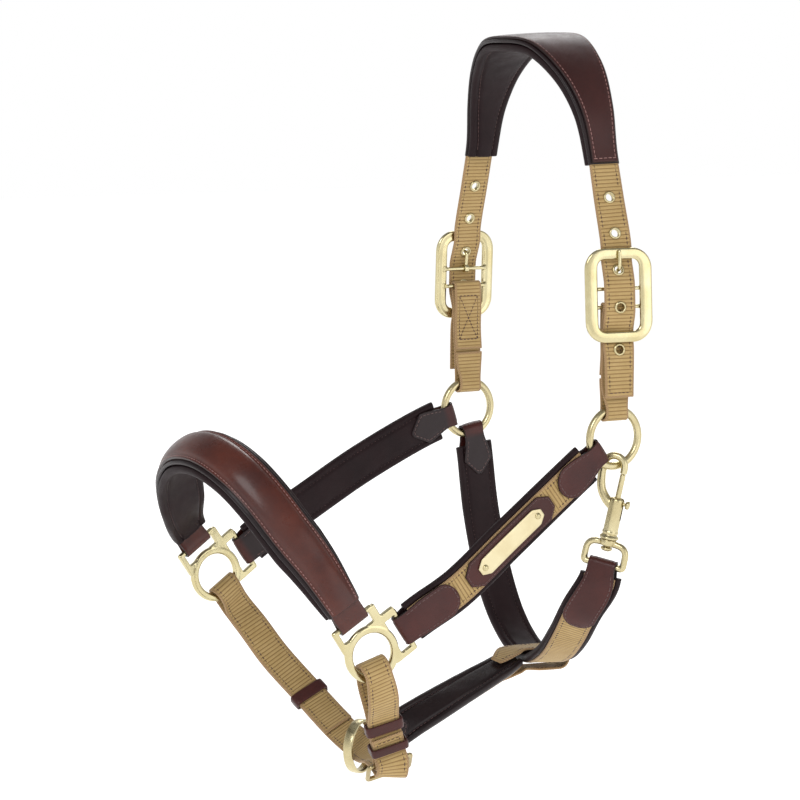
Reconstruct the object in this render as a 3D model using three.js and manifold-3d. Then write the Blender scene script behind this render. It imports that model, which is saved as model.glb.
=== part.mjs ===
// A horse's leather and webbing headcollar, in millimetres, standing as it sits on a head.
// +Z is up, the horse faces -Y, and its left (near) side is +X.
// The origin is the poll: the middle of the underside of the padded crown.
import * as THREE from 'three';
import Module from 'manifold-3d';
import { mergeVertices } from 'three/addons/utils/BufferGeometryUtils.js';

const wasm = await Module();
wasm.setup();

// ---------- driving dimensions ----------
const WEB_WIDTH = 25;
const WEB_THICK = 2;
const LEATHER = 2;
const LINING_WIDTH = 33;
const LINING_THICK = 5;
const TAB_WIDTH = 27;
const TAB_AT_RING = 17.5; // leather loops narrow where they pass round a cheek ring
const AIR = 0.4; // gap between neighbouring pieces

const RING_RADIUS = 22; // to the middle of the wire
const RING_WIRE = 3;
const RING_X = 108;
const RING_Y = 12;
const RING_Z = -294;

const BUCKLE = { x: 110.5, z: -184, lean: 3, width: 54, height: 72, corner: 16, thick: 4, lift: 3.7 };
const WINDOW = { width: 34, height: 55, corner: 6 };
const TONGUE_BAR = { v: 5, h: 1.4, r: 1.6 };
const CHAPE_BAR = { v: -9, h: 0, r: 1.6 };
const EYELET = { bore: 3, tube: 3.4, flange: 4.8, lip: 0.7 };
const EYELET_LEVELS = [75, 47, 19, -9, -41.5]; // distances above the buckle's middle

const SQUARE = { hole: 16, outer: 22, thick: 5, bar: 31, barRadius: 2.1, halfBar: 16.5, arm: 4.6,
  ear: 6.6 };
const SLOT_EDGE = 20; // from the middle of a square to the straight edge of its slots
const SNAP = { eyeBar: -19, eyeHalf: 15.9, eyeWire: 2.6, hook: 8.2, hookWire: 2.8, bolt: 2.2, bore: 2.6,
  barrel: 5.8 };
const CHIN_RING = { radius: 19.7, band: 8, wall: 2.2, turn: 33, centre: [20, -162, -532.5] };

const LEFT = 1;
const RIGHT = -1;

// ---------- materials ----------
const look = (color, roughness, metalness) => new THREE.MeshStandardMaterial({ color, roughness,
  metalness });
const havana = look(0x4b1d1a, 0.42, 0);
const softLining = look(0x2b2022, 0.55, 0);
const webbing = look(0xb08a4e, 0.85, 0);
const brass = look(0xd9c78a, 0.28, 1);
const springSteel = look(0xb8b8b8, 0.35, 1);

const headcollar = new THREE.Group();

function add(name, geometry, material) {
  const mesh = new THREE.Mesh(geometry, material);
  mesh.name = name;
  headcollar.add(mesh);
  return mesh;
}

const vec = (x, y, z) => new THREE.Vector3(x, y, z);

// ---------- routes ----------
// A route is a smooth line with an outward normal at each point. s is the distance along it.
class Route {
  constructor(points, normals, samples = 160) {
    const line = new THREE.CatmullRomCurve3(points.map((p) => vec(...p)), false, 'centripetal');
    const lean = new THREE.CatmullRomCurve3(normals.map((n) => vec(...n)), false, 'centripetal');
    this.samples = Array.from({ length: samples + 1 }, (_, i) => {
      const u = i / samples;
      const t = line.getTangent(u);
      const share = u * (normals.length - 1);
      const n = lean.getPoint(share / (normals.length - 1));
      n.addScaledVector(t, -n.dot(t)).normalize();
      return { p: line.getPoint(u), t, n, w: n.clone().cross(t) };
    });
    this.samples.forEach((f, i, all) => {
      f.s = i ? all[i - 1].s + f.p.distanceTo(all[i - 1].p) : 0;
    });
    this.length = this.samples.at(-1).s;
  }

  // The frame at distance s. Past either end the route runs on straight.
  at(s) {
    const f = this.samples;
    if (s <= 0) return { ...f[0], p: f[0].p.clone().addScaledVector(f[0].t, s) };
    if (s >= this.length) {
      const end = f.at(-1);
      return { ...end, p: end.p.clone().addScaledVector(end.t, s - this.length) };
    }
    const i = f.findIndex((x) => x.s > s);
    const a = f[i - 1];
    const b = f[i];
    const k = (s - a.s) / (b.s - a.s);
    const mix = (key) => a[key].clone().lerp(b[key], k);
    return { p: mix('p'), t: mix('t').normalize(), n: mix('n').normalize(), w: mix('w').normalize() };
  }
}

// Paths beside a route are lists of [s, h]: distance along it and height above it.
const straight = (s0, h0, s1, h1, steps) =>
  Array.from({ length: steps + 1 }, (_, i) => [s0 + ((s1 - s0) * i) / steps,
  h0 + ((h1 - h0) * i) / steps]);
const arc = (s, h, r, from, to, steps) =>
  Array.from({ length: steps + 1 }, (_, i) => {
    const a = THREE.MathUtils.degToRad(from + ((to - from) * i) / steps);
    return [s + r * Math.cos(a), h + r * Math.sin(a)];
  });
const join = (...paths) =>
  paths.flat().filter((p, i, all) => !i || Math.hypot(p[0] - all[i - 1][0], p[1] - all[i - 1][1]) > 0.2);

// A strip of leather or webbing: a box bent along a path beside a route.
// width is a number, or a function of the share of the strip's length and of the distance along the
// route.
function strip(route, path, width, thick) {
  const places = path.map(([s, h]) => {
    const f = route.at(s);
    return { p: f.p.addScaledVector(f.n, h), w: f.w };
  });
  const lengths = places.reduce((sum, f, i) => [...sum,
    i ? sum[i - 1] + f.p.distanceTo(places[i - 1].p) : 0], []);
  const frames = places.map((f, i) => {
    const before = places[Math.max(i - 1, 0)].p;
    const after = places[Math.min(i + 1, places.length - 1)].p;
    const t = after.clone().sub(before).normalize();
    return { p: f.p, w: f.w, n: t.cross(f.w).normalize() };
  });
  const last = frames.length - 1;
  const total = lengths.at(-1);
  const box = new THREE.BoxGeometry(last, 1, 1, last, 1, 1);
  const position = box.attributes.position;
  for (let i = 0; i < position.count; i++) {
    const k = Math.round(position.getX(i) + last / 2);
    const f = frames[k];
    const wide = typeof width === 'function' ? width(lengths[k] / total, path[k][0]) : width;
    const p = f.p.clone().addScaledVector(f.w, position.getY(i) * wide).addScaledVector(f.n,
      position.getZ(i) * thick);
    position.setXYZ(i, p.x, p.y, p.z);
  }
  return box;
}

// The path of a strip folded round a rod that crosses a route at distance `at` and height `h`.
// It starts on the outer side, `outerLength` from the rod, and ends on the inner side.
// `legs` is the half gap between the two sides, `reach` lengthens the bow beyond the rod, `depth`
// squashes it.
function fold({ at, h, dir = 1, radius, depth = radius, reach = 0, legs = radius, outerLength,
  innerLength, settle = 12 }) {
  const steps = (length) => Math.max(1, Math.round((length - settle) / 8));
  const path = join(
    straight(outerLength, legs, settle, legs, steps(outerLength)),
    [[settle * 0.55, legs * 0.6 + radius * 0.4], [0, radius]],
    arc(0, 0, radius, 90, 270, 8).map(([s, up]) => [(s * depth) / radius - reach, up]),
    [[0, -radius], [settle * 0.55, -legs * 0.6 - radius * 0.4]],
    straight(settle, -legs, innerLength, -legs, steps(innerLength)),
  );
  return path.map(([s, up]) => [at + dir * s, h + up]);
}

// ---------- solids ----------
function solid(geometry) {
  const bare = geometry.clone();
  Object.keys(bare.attributes).filter((k) => k !== 'position').forEach((k) => bare.deleteAttribute(k));
  const g = mergeVertices(bare.index ? bare.toNonIndexed() : bare, 1e-4);
  return new wasm.Manifold(new wasm.Mesh({
    numProp: 3,
    vertProperties: new Float32Array(g.attributes.position.array),
    triVerts: new Uint32Array(g.index.array),
  }));
}

function geometryOf(made) {
  const mesh = made.getMesh();
  return new THREE.BufferGeometry()
    .setAttribute('position', new THREE.BufferAttribute(new Float32Array(mesh.vertProperties), 3))
    .setIndex(new THREE.BufferAttribute(new Uint32Array(mesh.triVerts), 1));
}

const joined = (...parts) => geometryOf(parts.map(solid).reduce((a, b) => a.add(b)));
const cut = (body, ...tools) => geometryOf(tools.map(solid).reduce((a, b) => a.subtract(b), solid(body)));

// Puts a geometry made in local u, v, n axes at its place in the part.
function place(geometry, origin, u, v, n) {
  const m = new THREE.Matrix4().makeBasis(u, v, n).setPosition(origin);
  return geometry.applyMatrix4(m);
}

function rodBetween(a, b, radius, sides = 12) {
  const rod = new THREE.CylinderGeometry(radius, radius, a.distanceTo(b), sides);
  const turn = new THREE.Quaternion().setFromUnitVectors(vec(0, 1, 0), b.clone().sub(a).normalize());
  return rod.applyQuaternion(turn).translate(...a.clone().add(b).multiplyScalar(0.5).toArray());
}

// A bent wire through points, with a round section.
function wire(points, radius, sides = 10, steps = 24) {
  const section = new THREE.Shape().absarc(0, 0, radius, 0, 2 * Math.PI);
  return new THREE.ExtrudeGeometry(section, {
    steps, curveSegments: sides, bevelEnabled: false,
    extrudePath: new THREE.CatmullRomCurve3(points, false, 'centripetal'),
  });
}

function roundedRectangle(width, height, radius) {
  const [x, y] = [width / 2, height / 2];
  const shape = new THREE.Shape();
  shape.moveTo(-x + radius, -y);
  shape.lineTo(x - radius, -y).absarc(x - radius, -y + radius, radius, -Math.PI / 2, 0);
  shape.lineTo(x, y - radius).absarc(x - radius, y - radius, radius, 0, Math.PI / 2);
  shape.lineTo(-x + radius, y).absarc(-x + radius, y - radius, radius, Math.PI / 2, Math.PI);
  shape.lineTo(-x, -y + radius).absarc(-x + radius, -y + radius, radius, Math.PI, 1.5 * Math.PI);
  return shape;
}

const centred = (shape, thick, curveSegments = 8) =>
  new THREE.ExtrudeGeometry(shape, { depth: thick, bevelEnabled: false, curveSegments }).translate(0, 0,
  -thick / 2);

// A stud or tube turned about the n axis: profile is a closed list of [radius, height].
const turned = (profile, sides = 16) =>
  new THREE.LatheGeometry(profile.map((p) => new THREE.Vector2(...p)), sides).rotateX(Math.PI / 2);

// 1 at distance s = centre, falling to 0 over the spread.
const nearness = (s, centre, spread) => Math.exp(-(((s - centre) / spread) ** 2));

// A point of the part given in a local frame: u across, v up, n outwards.
const localFrame = (origin, v, n) => {
  const up = v.clone().normalize();
  const out = n.clone().addScaledVector(up, -n.dot(up)).normalize();
  return { origin, u: up.clone().cross(out), v: up, n: out };
};
const pointIn = (f, u, v, n) =>
  f.origin.clone().addScaledVector(f.u, u).addScaledVector(f.v, v).addScaledVector(f.n, n);
const placeIn = (geometry, f) => place(geometry, f.origin, f.u, f.v, f.n);

// ---------- headpiece ----------
// One route runs from the far cheek ring over the poll to the near one; distances are counted from
// the poll.
const CROWN = { reach: 146, end: 27, middle: 61, cover: 2.2, lining: 7 };
const HEAD_RISE = CROWN.lining + AIR + WEB_THICK / 2; // the crown's underside at the poll is at height 0
const BILLET_START = 70;

function headRoute() {
  const lean = Math.tan(THREE.MathUtils.degToRad(BUCKLE.lean));
  const onBuckle = (v) => [BUCKLE.x - v * lean, RING_Y, BUCKLE.z + v];
  const half = [
    [34, 6.5, 5], [62, 9, -15], [80, 11, -44], [89, RING_Y, -78], [98.3, RING_Y, -111],
    onBuckle(38), onBuckle(28), onBuckle(0), onBuckle(-36), onBuckle(-48), [113.6, RING_Y, -262],
    [114, RING_Y, -300],
  ];
  const points = [...half.map(([x, y, z]) => [-x, y, z]).reverse(), [0, 5.5, HEAD_RISE], ...half];
  const leanOf = [[0.3, -0.05, 1], [0.75, -0.04, 0.7], [1, 0, 0.35], [1, 0, 0.3], [1, 0, 0.26],
    [1, 0, 0.07], [1, 0, 0.05], [1, 0, 0.05], [1, 0, 0.05], [1, 0, 0.04], [1, 0, 0.02], [1, 0, 0]];
  // the near side is turned a little forward
  const nearTurn = [0, 0, 0.03, 0.09, 0.18, 0.24, 0.24, 0.24, 0.24, 0.14, 0.04, 0];
  const near = leanOf.map(([x, y, z], i) => [x, y - nearTurn[i], z]);
  const normals = [...leanOf.map(([x, y, z]) => [-x, y, z]).reverse(), [0, -0.05, 1], ...near];
  return new Route(points, normals, 400);
}

const head = headRoute();
const POLL = head.length / 2;
const onSide = (side, path) => path.map(([d, h]) => [POLL + side * d, h]);
// distance down to a level
const depthOf = (z) => head.samples.find((f) => f.s > POLL && f.p.z <= z).s - POLL;
const BUCKLE_D = depthOf(BUCKLE.z);
const fromBuckle = (v) => BUCKLE_D - v;

function crown() {
  const width = (share) => CROWN.end + (CROWN.middle - CROWN.end) * Math.sin(Math.PI * share) ** 2;
  const across = (h, steps) => onSide(1, straight(-CROWN.reach, h, CROWN.reach, h, steps));
  const coverHeight = WEB_THICK / 2 + AIR + CROWN.cover / 2;
  const liningHeight = -(WEB_THICK / 2 + AIR + CROWN.lining / 2);
  add('crown_cover', strip(head, across(coverHeight, 24), (k) => width(k) - 5, CROWN.cover), havana);
  add('crown_lining', strip(head, across(liningHeight, 24), width, CROWN.lining), softLining);
}

// The billet goes behind the top of the buckle frame, over its two bars and behind its foot.
const BILLET_END = 262; // level of the tail's end, below the poll
const billetPath = () => [
  ...straight(BILLET_START, 0, fromBuckle(30), 0, 16),
  [fromBuckle(27), 0.2], [fromBuckle(19), 3], [fromBuckle(11), 5.8], [fromBuckle(7.5), 6.2],
  [fromBuckle(0), 6.2],
  [fromBuckle(-8), 6.2], [fromBuckle(-14), 6], [fromBuckle(-20), 3.2], [fromBuckle(-27), 0.1],
  [fromBuckle(-30), 0], [fromBuckle(-34), 0.1], [fromBuckle(-39), 1.3],
  ...straight(fromBuckle(-44), 1.7, depthOf(-BILLET_END), 1.7, 3),
];

// Height of a path above its route at distance d.
function heightOn(path, d) {
  const i = Math.max(1, path.findIndex((p) => p[0] >= d));
  const [[d0, h0], [d1, h1]] = [path[i - 1], path[i]];
  return { h: h0 + ((h1 - h0) * (d - d0)) / (d1 - d0), slope: (h1 - h0) / (d1 - d0) };
}

function eyeletFrame(side, level) {
  const { h, slope } = heightOn(billetPath(), fromBuckle(level));
  const f = head.at(POLL + side * fromBuckle(level));
  const down = f.t.clone().multiplyScalar(side);
  return localFrame(f.p.clone().addScaledVector(f.n, h),
    down.clone().addScaledVector(f.n, slope).negate(), f.n);
}

function eyelet() {
  const z = WEB_THICK / 2 + 0.45;
  const { bore, tube, flange, lip } = EYELET;
  return turned([[bore, -z - lip], [flange, -z - lip / 3], [flange, -z], [tube, -z], [tube, z],
    [flange, z],
    [flange, z + lip / 3], [bore, z + lip], [bore, -z - lip]], 14);
}

function billet(side, label) {
  const bar = strip(head, onSide(side, billetPath()), WEB_WIDTH, WEB_THICK);
  const frames = EYELET_LEVELS.map((level) => eyeletFrame(side, level));
  const holes = frames.map((f) => placeIn(new THREE.CylinderGeometry(3.7, 3.7, 9,
    14).rotateX(Math.PI / 2), f));
  add(`billet_${label}`, cut(bar, ...holes), webbing);
  frames.forEach((f, i) => add(`eyelet_${label}_${i + 1}`, placeIn(eyelet(), f), brass));
}

// The buckle's own frame: v runs up the strap, heights are counted from the strap.
function buckleFrame(side) {
  const f = head.at(POLL + side * BUCKLE_D);
  return localFrame(f.p, f.t.clone().multiplyScalar(-side), f.n);
}

function buckle(side, label) {
  const f = buckleFrame(side);
  const shape = roundedRectangle(BUCKLE.width, BUCKLE.height, BUCKLE.corner);
  shape.holes.push(roundedRectangle(WINDOW.width, WINDOW.height, WINDOW.corner));
  const ring = centred(shape, BUCKLE.thick, 5).translate(0, 0, BUCKLE.lift);
  const half = WINDOW.width / 2;
  const bars = [TONGUE_BAR, CHAPE_BAR].map(({ v, h, r }) => {
    const lug = (x) => new THREE.BoxGeometry(3, 2 * r, BUCKLE.lift - h + 1.5).translate(x, v,
      (h + BUCKLE.lift - 1.5) / 2);
    return [rodBetween(vec(-half - 1.5, v, h), vec(half + 1.5, v, h), r, 10), lug(-half - 1.5),
      lug(half + 1.5)];
  });
  add(`buckle_frame_${label}`, placeIn(joined(ring, ...bars.flat()), f), brass);
  buckleTongue(f, label);
}

// The tongue's eye turns on the bar; its wire climbs through the eyelet and lies on the top of the frame.
function buckleTongue(f, label) {
  const { v, h, r } = TONGUE_BAR;
  const eye = turned([[r + 0.3, -1.9], [r + 1.8, -1.9], [r + 1.8, 1.9], [r + 0.3, 1.9], [r + 0.3, -1.9]],
    14)
    .rotateY(Math.PI / 2).translate(0, v, h);
  const points = [[0, v + 2.4, h - 0.2], [0, 12.5, 0.5], [0, 16.9, 0.4], [0, 18.5, 2], [0, 19.5, 4.6],
    [0, 21.4, 6.8], [0, 25, 7.6],
    [0, 34.5, 7.6]];
  const arm = wire(points.map((p) => vec(...p)), 1.4, 4, 16);
  add(`buckle_tongue_${label}`, placeIn(joined(eye, arm), f), brass);
}

// The chape is folded round the buckle's lower bar at the top and round the cheek ring at the bottom.
const RING_REACH = 3.5; // a flat loop bears on a round ring with its edges, so it bows further in
const RING_D = depthOf(RING_Z + RING_RADIUS); // distance to the top of the ring's wire
const CHAPE_SHIFT = RING_X - 114; // the ring hangs a little inside the billet's line

function chape(side, label) {
  const top = fromBuckle(CHAPE_BAR.v);
  const bow = CHAPE_BAR.r + AIR + WEB_THICK / 2;
  const ringBow = RING_WIRE + AIR + WEB_THICK / 2;
  const low = CHAPE_SHIFT;
  const middle = (top + RING_D) / 2;
  const path = join(
    [[top + 52, low - 1.2], [top + 34, -4.7], [top + 18, -4.8], [top + 8, -3.9]],
    arc(top, CHAPE_BAR.h, bow, 285, 75, 8),
    [[top + 8, 0.4], [top + 18, -2.4], [top + 34, -2.3], [top + 52, low + 1.2], [middle + 22, low + 1.2]],
    [[RING_D - 14, low + 1.4], [RING_D - 6, low + 3.4], [RING_D, low + ringBow]],
    arc(RING_D + RING_REACH, low, ringBow, 90, -90, 8),
    [[RING_D, low - ringBow], [RING_D - 6, low - 3.4], [RING_D - 14, low - 1.4], [top + 54.5, low - 1.2]],
  );
  const width = (share, s) => WEB_WIDTH - 5.5 * nearness(s, POLL + side * RING_D, 12);
  add(`chape_${label}`, strip(head, onSide(side, path), width, WEB_THICK), webbing);
}

// ---------- rings and squares ----------
const ringCentre = (side) => vec(side * RING_X, RING_Y, RING_Z);

function cheekRing(side, label) {
  const ring = new THREE.TorusGeometry(RING_RADIUS, RING_WIRE, 10, 32).rotateY(Math.PI / 2);
  add(`cheek_ring_${label}`, ring.translate(...ringCentre(side).toArray()), brass);
}

// A square joins noseband, cheek strap and chin strap. Its v axis points at the noseband's bar
// and the cheek strap's bar stands a quarter turn further back.
function squareFrame(side) {
  const [y, z, turn] = side === LEFT ? [-200, -441, 32.5] : [-222, -412, 34];
  const a = THREE.MathUtils.degToRad(turn);
  return localFrame(vec(side * 106, y, z), vec(0, -Math.sin(a), Math.cos(a)), vec(side, -0.07, 0));
}
const squares = { [LEFT]: squareFrame(LEFT), [RIGHT]: squareFrame(RIGHT) };
const noseBar = (side) => pointIn(squares[side], 0, SQUARE.bar, 0);
const cheekBar = (side) => pointIn(squares[side], side * SQUARE.bar, 0, 0);

function square(side, label) {
  const { hole, outer, thick, bar, barRadius, halfBar, arm, ear } = SQUARE;
  const rim = turned([[hole, -thick / 2 + 1], [hole + 1, -thick / 2], [outer - 1, -thick / 2],
    [outer, -thick / 2 + 1],
    [outer, thick / 2 - 1], [outer - 1, thick / 2], [hole + 1, thick / 2], [hole, thick / 2 - 1],
    [hole, -thick / 2 + 1]], 28);
  const barParts = (turn, corner) => {
    const ends = [-1, 1].map((k) => vec(k * (halfBar + arm / 2), bar, 0));
    const arms = [-1, 1].map((k) => {
      const [wide, low] = k === corner ? [ear, 6] : [arm, 12];
      return new THREE.BoxGeometry(wide, bar - low, thick - 0.8)
        .translate(k * (halfBar + (wide - arm) / 2), (bar + low) / 2 + barRadius - 0.3, 0);
    });
    const web = new THREE.BoxGeometry(2 * halfBar, SLOT_EDGE - 8, thick - 0.8)
      .translate(0, (SLOT_EDGE + 8) / 2, 0);
    return [rodBetween(ends[0], ends[1], barRadius, 10), web, ...arms].map((g) => g.rotateZ(turn));
  };
  const parts = [rim, ...barParts(0, side), ...barParts(-side * Math.PI / 2, -side)];
  const middle = new THREE.CylinderGeometry(hole, hole, 2 * thick, 28).rotateX(Math.PI / 2);
  add(`square_${label}`, placeIn(cut(joined(...parts), middle), squares[side]), brass);
}

// ---------- padded straps ----------
// Layers from outside to inside: leather tab, webbing, padded lining, and the tab's inner end.
const LINING_H = -(WEB_THICK / 2 + AIR + LINING_THICK / 2);
const OUTER_TAB_H = WEB_THICK / 2 + AIR + LEATHER / 2;
const INNER_TAB_H = -(WEB_THICK / 2 + 2 * AIR + LINING_THICK + LEATHER / 2);
const ROD_H = (OUTER_TAB_H + INNER_TAB_H) / 2; // a rod between the two sides of a tab
const TAB_LEGS = (OUTER_TAB_H - INNER_TAB_H) / 2;

// Width of a folded tab: an oval tip outside, a pointed tip inside and a waist at the rod.
const tabWidth = (waist, at, lengths, full) => {
  const bow = 16; // length of leather round the rod
  return (share, s) => {
    const run = share * (lengths[0] + lengths[1] + bow);
    const left = (1 - share) * (lengths[0] + lengths[1] + bow);
    const oval = Math.sqrt(Math.max(0.07, 1 - (1 - Math.min(run / 14, 1)) ** 2));
    const point = Math.min(1, 0.2 + left / 14);
    return Math.min(full * Math.min(oval, point), full - (full - waist) * nearness(s, at, 15));
  };
};

function tab(name, route, { at, dir = 1, radius, depth, reach = 0, legs = TAB_LEGS },
  { waist, outerLength, innerLength, full = TAB_WIDTH }) {
  const path = fold({ at, dir, radius, depth, reach, legs, h: ROD_H, outerLength, innerLength });
  add(name, strip(route, withTips(path), tabWidth(waist, at, [outerLength, innerLength], full), LEATHER),
    havana);
}

// Adds sections close to both ends, so that a tip's outline stays round.
function withTips(path) {
  const split = (a, b, k) => [a[0] + (b[0] - a[0]) * k, a[1] + (b[1] - a[1]) * k];
  const [first, second, last, before] = [path[0], path[1], path.at(-1), path.at(-2)];
  return [first, split(first, second, 0.15), split(first, second, 0.5), ...path.slice(1, -1),
    split(last, before, 0.5), last];
}

function paddedStrap(name, route, from, to, steps, width = LINING_WIDTH) {
  add(`${name}_webbing`, strip(route, straight(from, 0, to, 0, steps), WEB_WIDTH, WEB_THICK), webbing);
  add(`${name}_lining`, strip(route, straight(from, LINING_H, to, LINING_H, steps), width, LINING_THICK),
    softLining);
}

// ---------- cheek straps ----------
function cheekRoute(side) {
  const out = (p) => [p.x - side * ROD_H, p.y, p.z];
  const between = side === LEFT
    ? [[110.8, -27, -322.5], [111.5, -84, -365], [110.5, -128, -399]]
    : [[-111.5, -27, -306.5], [-112.5, -88, -334], [-111, -140, -361.5]];
  const points = [out(ringCentre(side)), ...between, out(pointIn(squares[side], side * (SQUARE.bar + 17),
    0, 0)),
    out(cheekBar(side))];
  const leans = [0, -0.02, -0.04, -0.05].map((y) => [side, y, 0]);
  const atSquare = squares[side].n.toArray();
  return new Route(points, [...leans, atSquare, atSquare]);
}
const cheekRoutes = { [LEFT]: cheekRoute(LEFT), [RIGHT]: cheekRoute(RIGHT) };

function cheekStrap(side, label) {
  const route = cheekRoutes[side];
  const length = route.length;
  paddedStrap(`cheek_${label}`, route, RING_RADIUS + 10, length - 9, 14);
  tab(`cheek_tab_upper_${label}`, route, { at: RING_RADIUS, radius: RING_WIRE + AIR + LEATHER / 2,
    reach: RING_REACH },
    { waist: TAB_AT_RING, outerLength: 42, innerLength: 36 });
  tab(`cheek_tab_lower_${label}`, route, { at: length, dir: -1,
    radius: SQUARE.barRadius + AIR + LEATHER / 2 },
    { waist: 24, outerLength: 50, innerLength: 38 });
}

// The near cheek strap carries a leather patch with a blank brass plate held by two rivets.
const PLATE = { middle: 120, half: 34, width: 14, thick: 1, patchHalf: 46, patchWidth: 23, rivet: 29 };

function namePlate() {
  const route = cheekRoutes[LEFT];
  const ends = (full, half, taper) => (share) =>
    full * Math.min(1, 0.45 + (1.1 * half * Math.min(share, 1 - share)) / taper);
  const flat = (h, half, steps) => straight(PLATE.middle - half, h, PLATE.middle + half, h, steps);
  const patchHeight = OUTER_TAB_H - 0.2;
  const plateHeight = patchHeight + 0.8 + AIR + PLATE.thick / 2;
  add('plate_patch', strip(route, flat(patchHeight, PLATE.patchHalf, 10),
    ends(PLATE.patchWidth, PLATE.patchHalf, 12), 1.6), havana);
  const rivets = [-1, 1].map((k) => {
    const f = route.at(PLATE.middle + k * PLATE.rivet);
    return localFrame(f.p.clone().addScaledVector(f.n, plateHeight + PLATE.thick / 2), f.w, f.n);
  });
  const plate = strip(route, flat(plateHeight, PLATE.half, 12), ends(PLATE.width, PLATE.half, 8),
    PLATE.thick);
  add('name_plate', plate, brass);
  const stud = [[0, 0.2], [2.2, 0.2], [2.2, 0.6], [1.4, 1.3], [0, 1.5]];
  rivets.forEach((f, i) => add(`plate_rivet_${i + 1}`, placeIn(turned(stud, 12), f), brass));
}

// ---------- noseband ----------
const NOSE = { lining: 6, cover: 4, core: 4.2, wide: 44, narrow: 30, coverWide: 29, coverNarrow: 22 };

function noseRoute() {
  const points = [
    noseBar(LEFT).toArray(), pointIn(squares[LEFT], 0, SQUARE.bar + 17, 0).toArray(), [93, -239, -374],
    [82, -255, -349], [68, -268, -326], [50, -279, -307.5], [26, -287, -296], [0, -290, -294],
    [-29, -289, -301],
    [-56, -282, -320], [-80, -266, -349], pointIn(squares[RIGHT], 0, SQUARE.bar + 17, 0).toArray(),
    noseBar(RIGHT).toArray(),
  ];
  const normals = points.map(([x], i) => {
    if (i < 2) return squares[LEFT].n.toArray();
    if (i > points.length - 3) return squares[RIGHT].n.toArray();
    const lean = Math.asin(THREE.MathUtils.clamp(x / 100, -1, 1));
    return [Math.sin(lean), -0.58 * Math.cos(lean), 0.81 * Math.cos(lean)];
  });
  return new Route(points, normals, 240);
}
const nose = noseRoute();

function noseband() {
  const bulge = (narrow, wide) => (share) => narrow + (wide - narrow) * Math.min(1,
    1.9 * Math.sin(Math.PI * share)) ** 0.8;
  const coverHeight = NOSE.core / 2 + 1.5 * AIR + NOSE.cover / 2;
  const liningHeight = -(NOSE.core / 2 + AIR + NOSE.lining / 2);
  const { length } = nose;
  add('nose_cover', strip(nose, straight(13, coverHeight, length - 13, coverHeight, 38),
    bulge(NOSE.coverNarrow, NOSE.coverWide), NOSE.cover), havana);
  add('nose_lining', strip(nose, straight(11, liningHeight, length - 11, liningHeight, 38),
    bulge(NOSE.narrow, NOSE.wide), NOSE.lining), softLining);
  add('nose_core', strip(nose, straight(38, 0, length - 38, 0, 32), WEB_WIDTH, NOSE.core), webbing);
  const radius = SQUARE.barRadius + AIR + LEATHER / 2;
  const loop = (at, dir) => fold({ at, h: 0, dir, radius, legs: 1.1, outerLength: 36, innerLength: 36 });
  add('nose_loop_left', strip(nose, loop(0, 1), 25, 1.8), havana);
  add('nose_loop_right', strip(nose, loop(length, -1), 25, 1.8), havana);
}

// ---------- chin strap ----------
// It starts doubled round the far square's rim, runs through the chin ring and the chin buckle, and
// its tail
// climbs the near side over the chape that hangs from the near square's rim.
const RIM = (SQUARE.hole + SQUARE.outer) / 2;
const rimPoint = (side, degrees) => {
  const a = THREE.MathUtils.degToRad(degrees);
  const f = squares[side];
  const flat = vec(0, Math.cos(a), Math.sin(a));
  flat.addScaledVector(f.n, -flat.dot(f.n)).normalize();
  return f.origin.clone().addScaledVector(flat, RIM);
};
const FAR_RIM = rimPoint(RIGHT, -56);
const NEAR_RIM = rimPoint(LEFT, -80);
const CHIN_BAR = vec(84, -172, -530);
const CHIN_BUCKLE = { half: 17, length: 19, wire: 1.8, aim: vec(-0.72, 0.02, -0.7) };
const TAIL_LIFT = 2.7; // the tail lies this far outside the chape
const KEEPERS = { upper: 44, lower: 62, far: 108 };

const chinNear = new Route([
  NEAR_RIM.toArray(), [101, -190, -478], [94, -183, -499], [88, -176.5, -516], CHIN_BAR.toArray(),
], [[1, -0.05, -0.2], [1, -0.12, -0.25], [1, -0.15, -0.3], [1, -0.15, -0.3], [1, -0.12, -0.35]]);

function chinRoute() {
  const outside = (s, lift) => {
    const f = chinNear.at(s);
    return f.p.addScaledVector(f.n, lift).toArray();
  };
  const far = squares[RIGHT];
  const farStart = FAR_RIM.clone().addScaledVector(FAR_RIM.clone().sub(far.origin).normalize(), 13);
  const points = [
    FAR_RIM.toArray(), farStart.toArray(), [-94, -196, -454], [-79, -184, -477], [-49, -170, -503],
    [-12, -163, -523],
    [20, -162, -531.5], [46, -165, -534], [60, -168, -533.8], [68, -169.5, -533.8], [76, -170.5, -536.8],
    [85.5, -172, -540],
    outside(chinNear.length - 2, 6.4), outside(chinNear.length - 9, TAIL_LIFT),
    outside(chinNear.length - 18, TAIL_LIFT),
    outside(KEEPERS.upper + 7.5, TAIL_LIFT),
  ];
  const normals = [
    far.n.toArray(), far.n.toArray(), [-0.9, 0.2, -0.4], [-0.8, 0.35, -0.5], [-0.6, 0.4, -0.75],
    [-0.4, 0.5, -0.8],
    [-0.2, 0.6, -0.8], [-0.15, 0.3, -0.95], [0, 0, -1], [0, 0, -1], [0.1, -0.1, -1], [0.6, -0.2, -0.8],
    [1, -0.15, -0.4], [1, -0.15, -0.3], [1, -0.15, -0.3], [1, -0.15, -0.3],
  ];
  return new Route(points, normals, 300);
}
const chin = chinRoute();

function keeper(name, route, s, low, high, long) {
  const f = route.at(s);
  const [wide, tall] = [WEB_WIDTH + 1.6, high - low];
  const shape = roundedRectangle(wide + 2.8, tall + 2.8, 2.2);
  shape.holes.push(roundedRectangle(wide, tall, 0.8));
  const band = centred(shape, long, 3).translate(0, (high + low) / 2, 0);
  add(name, place(band, f.p, f.w.clone(), f.n, f.w.clone().cross(f.n)), havana);
}

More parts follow.
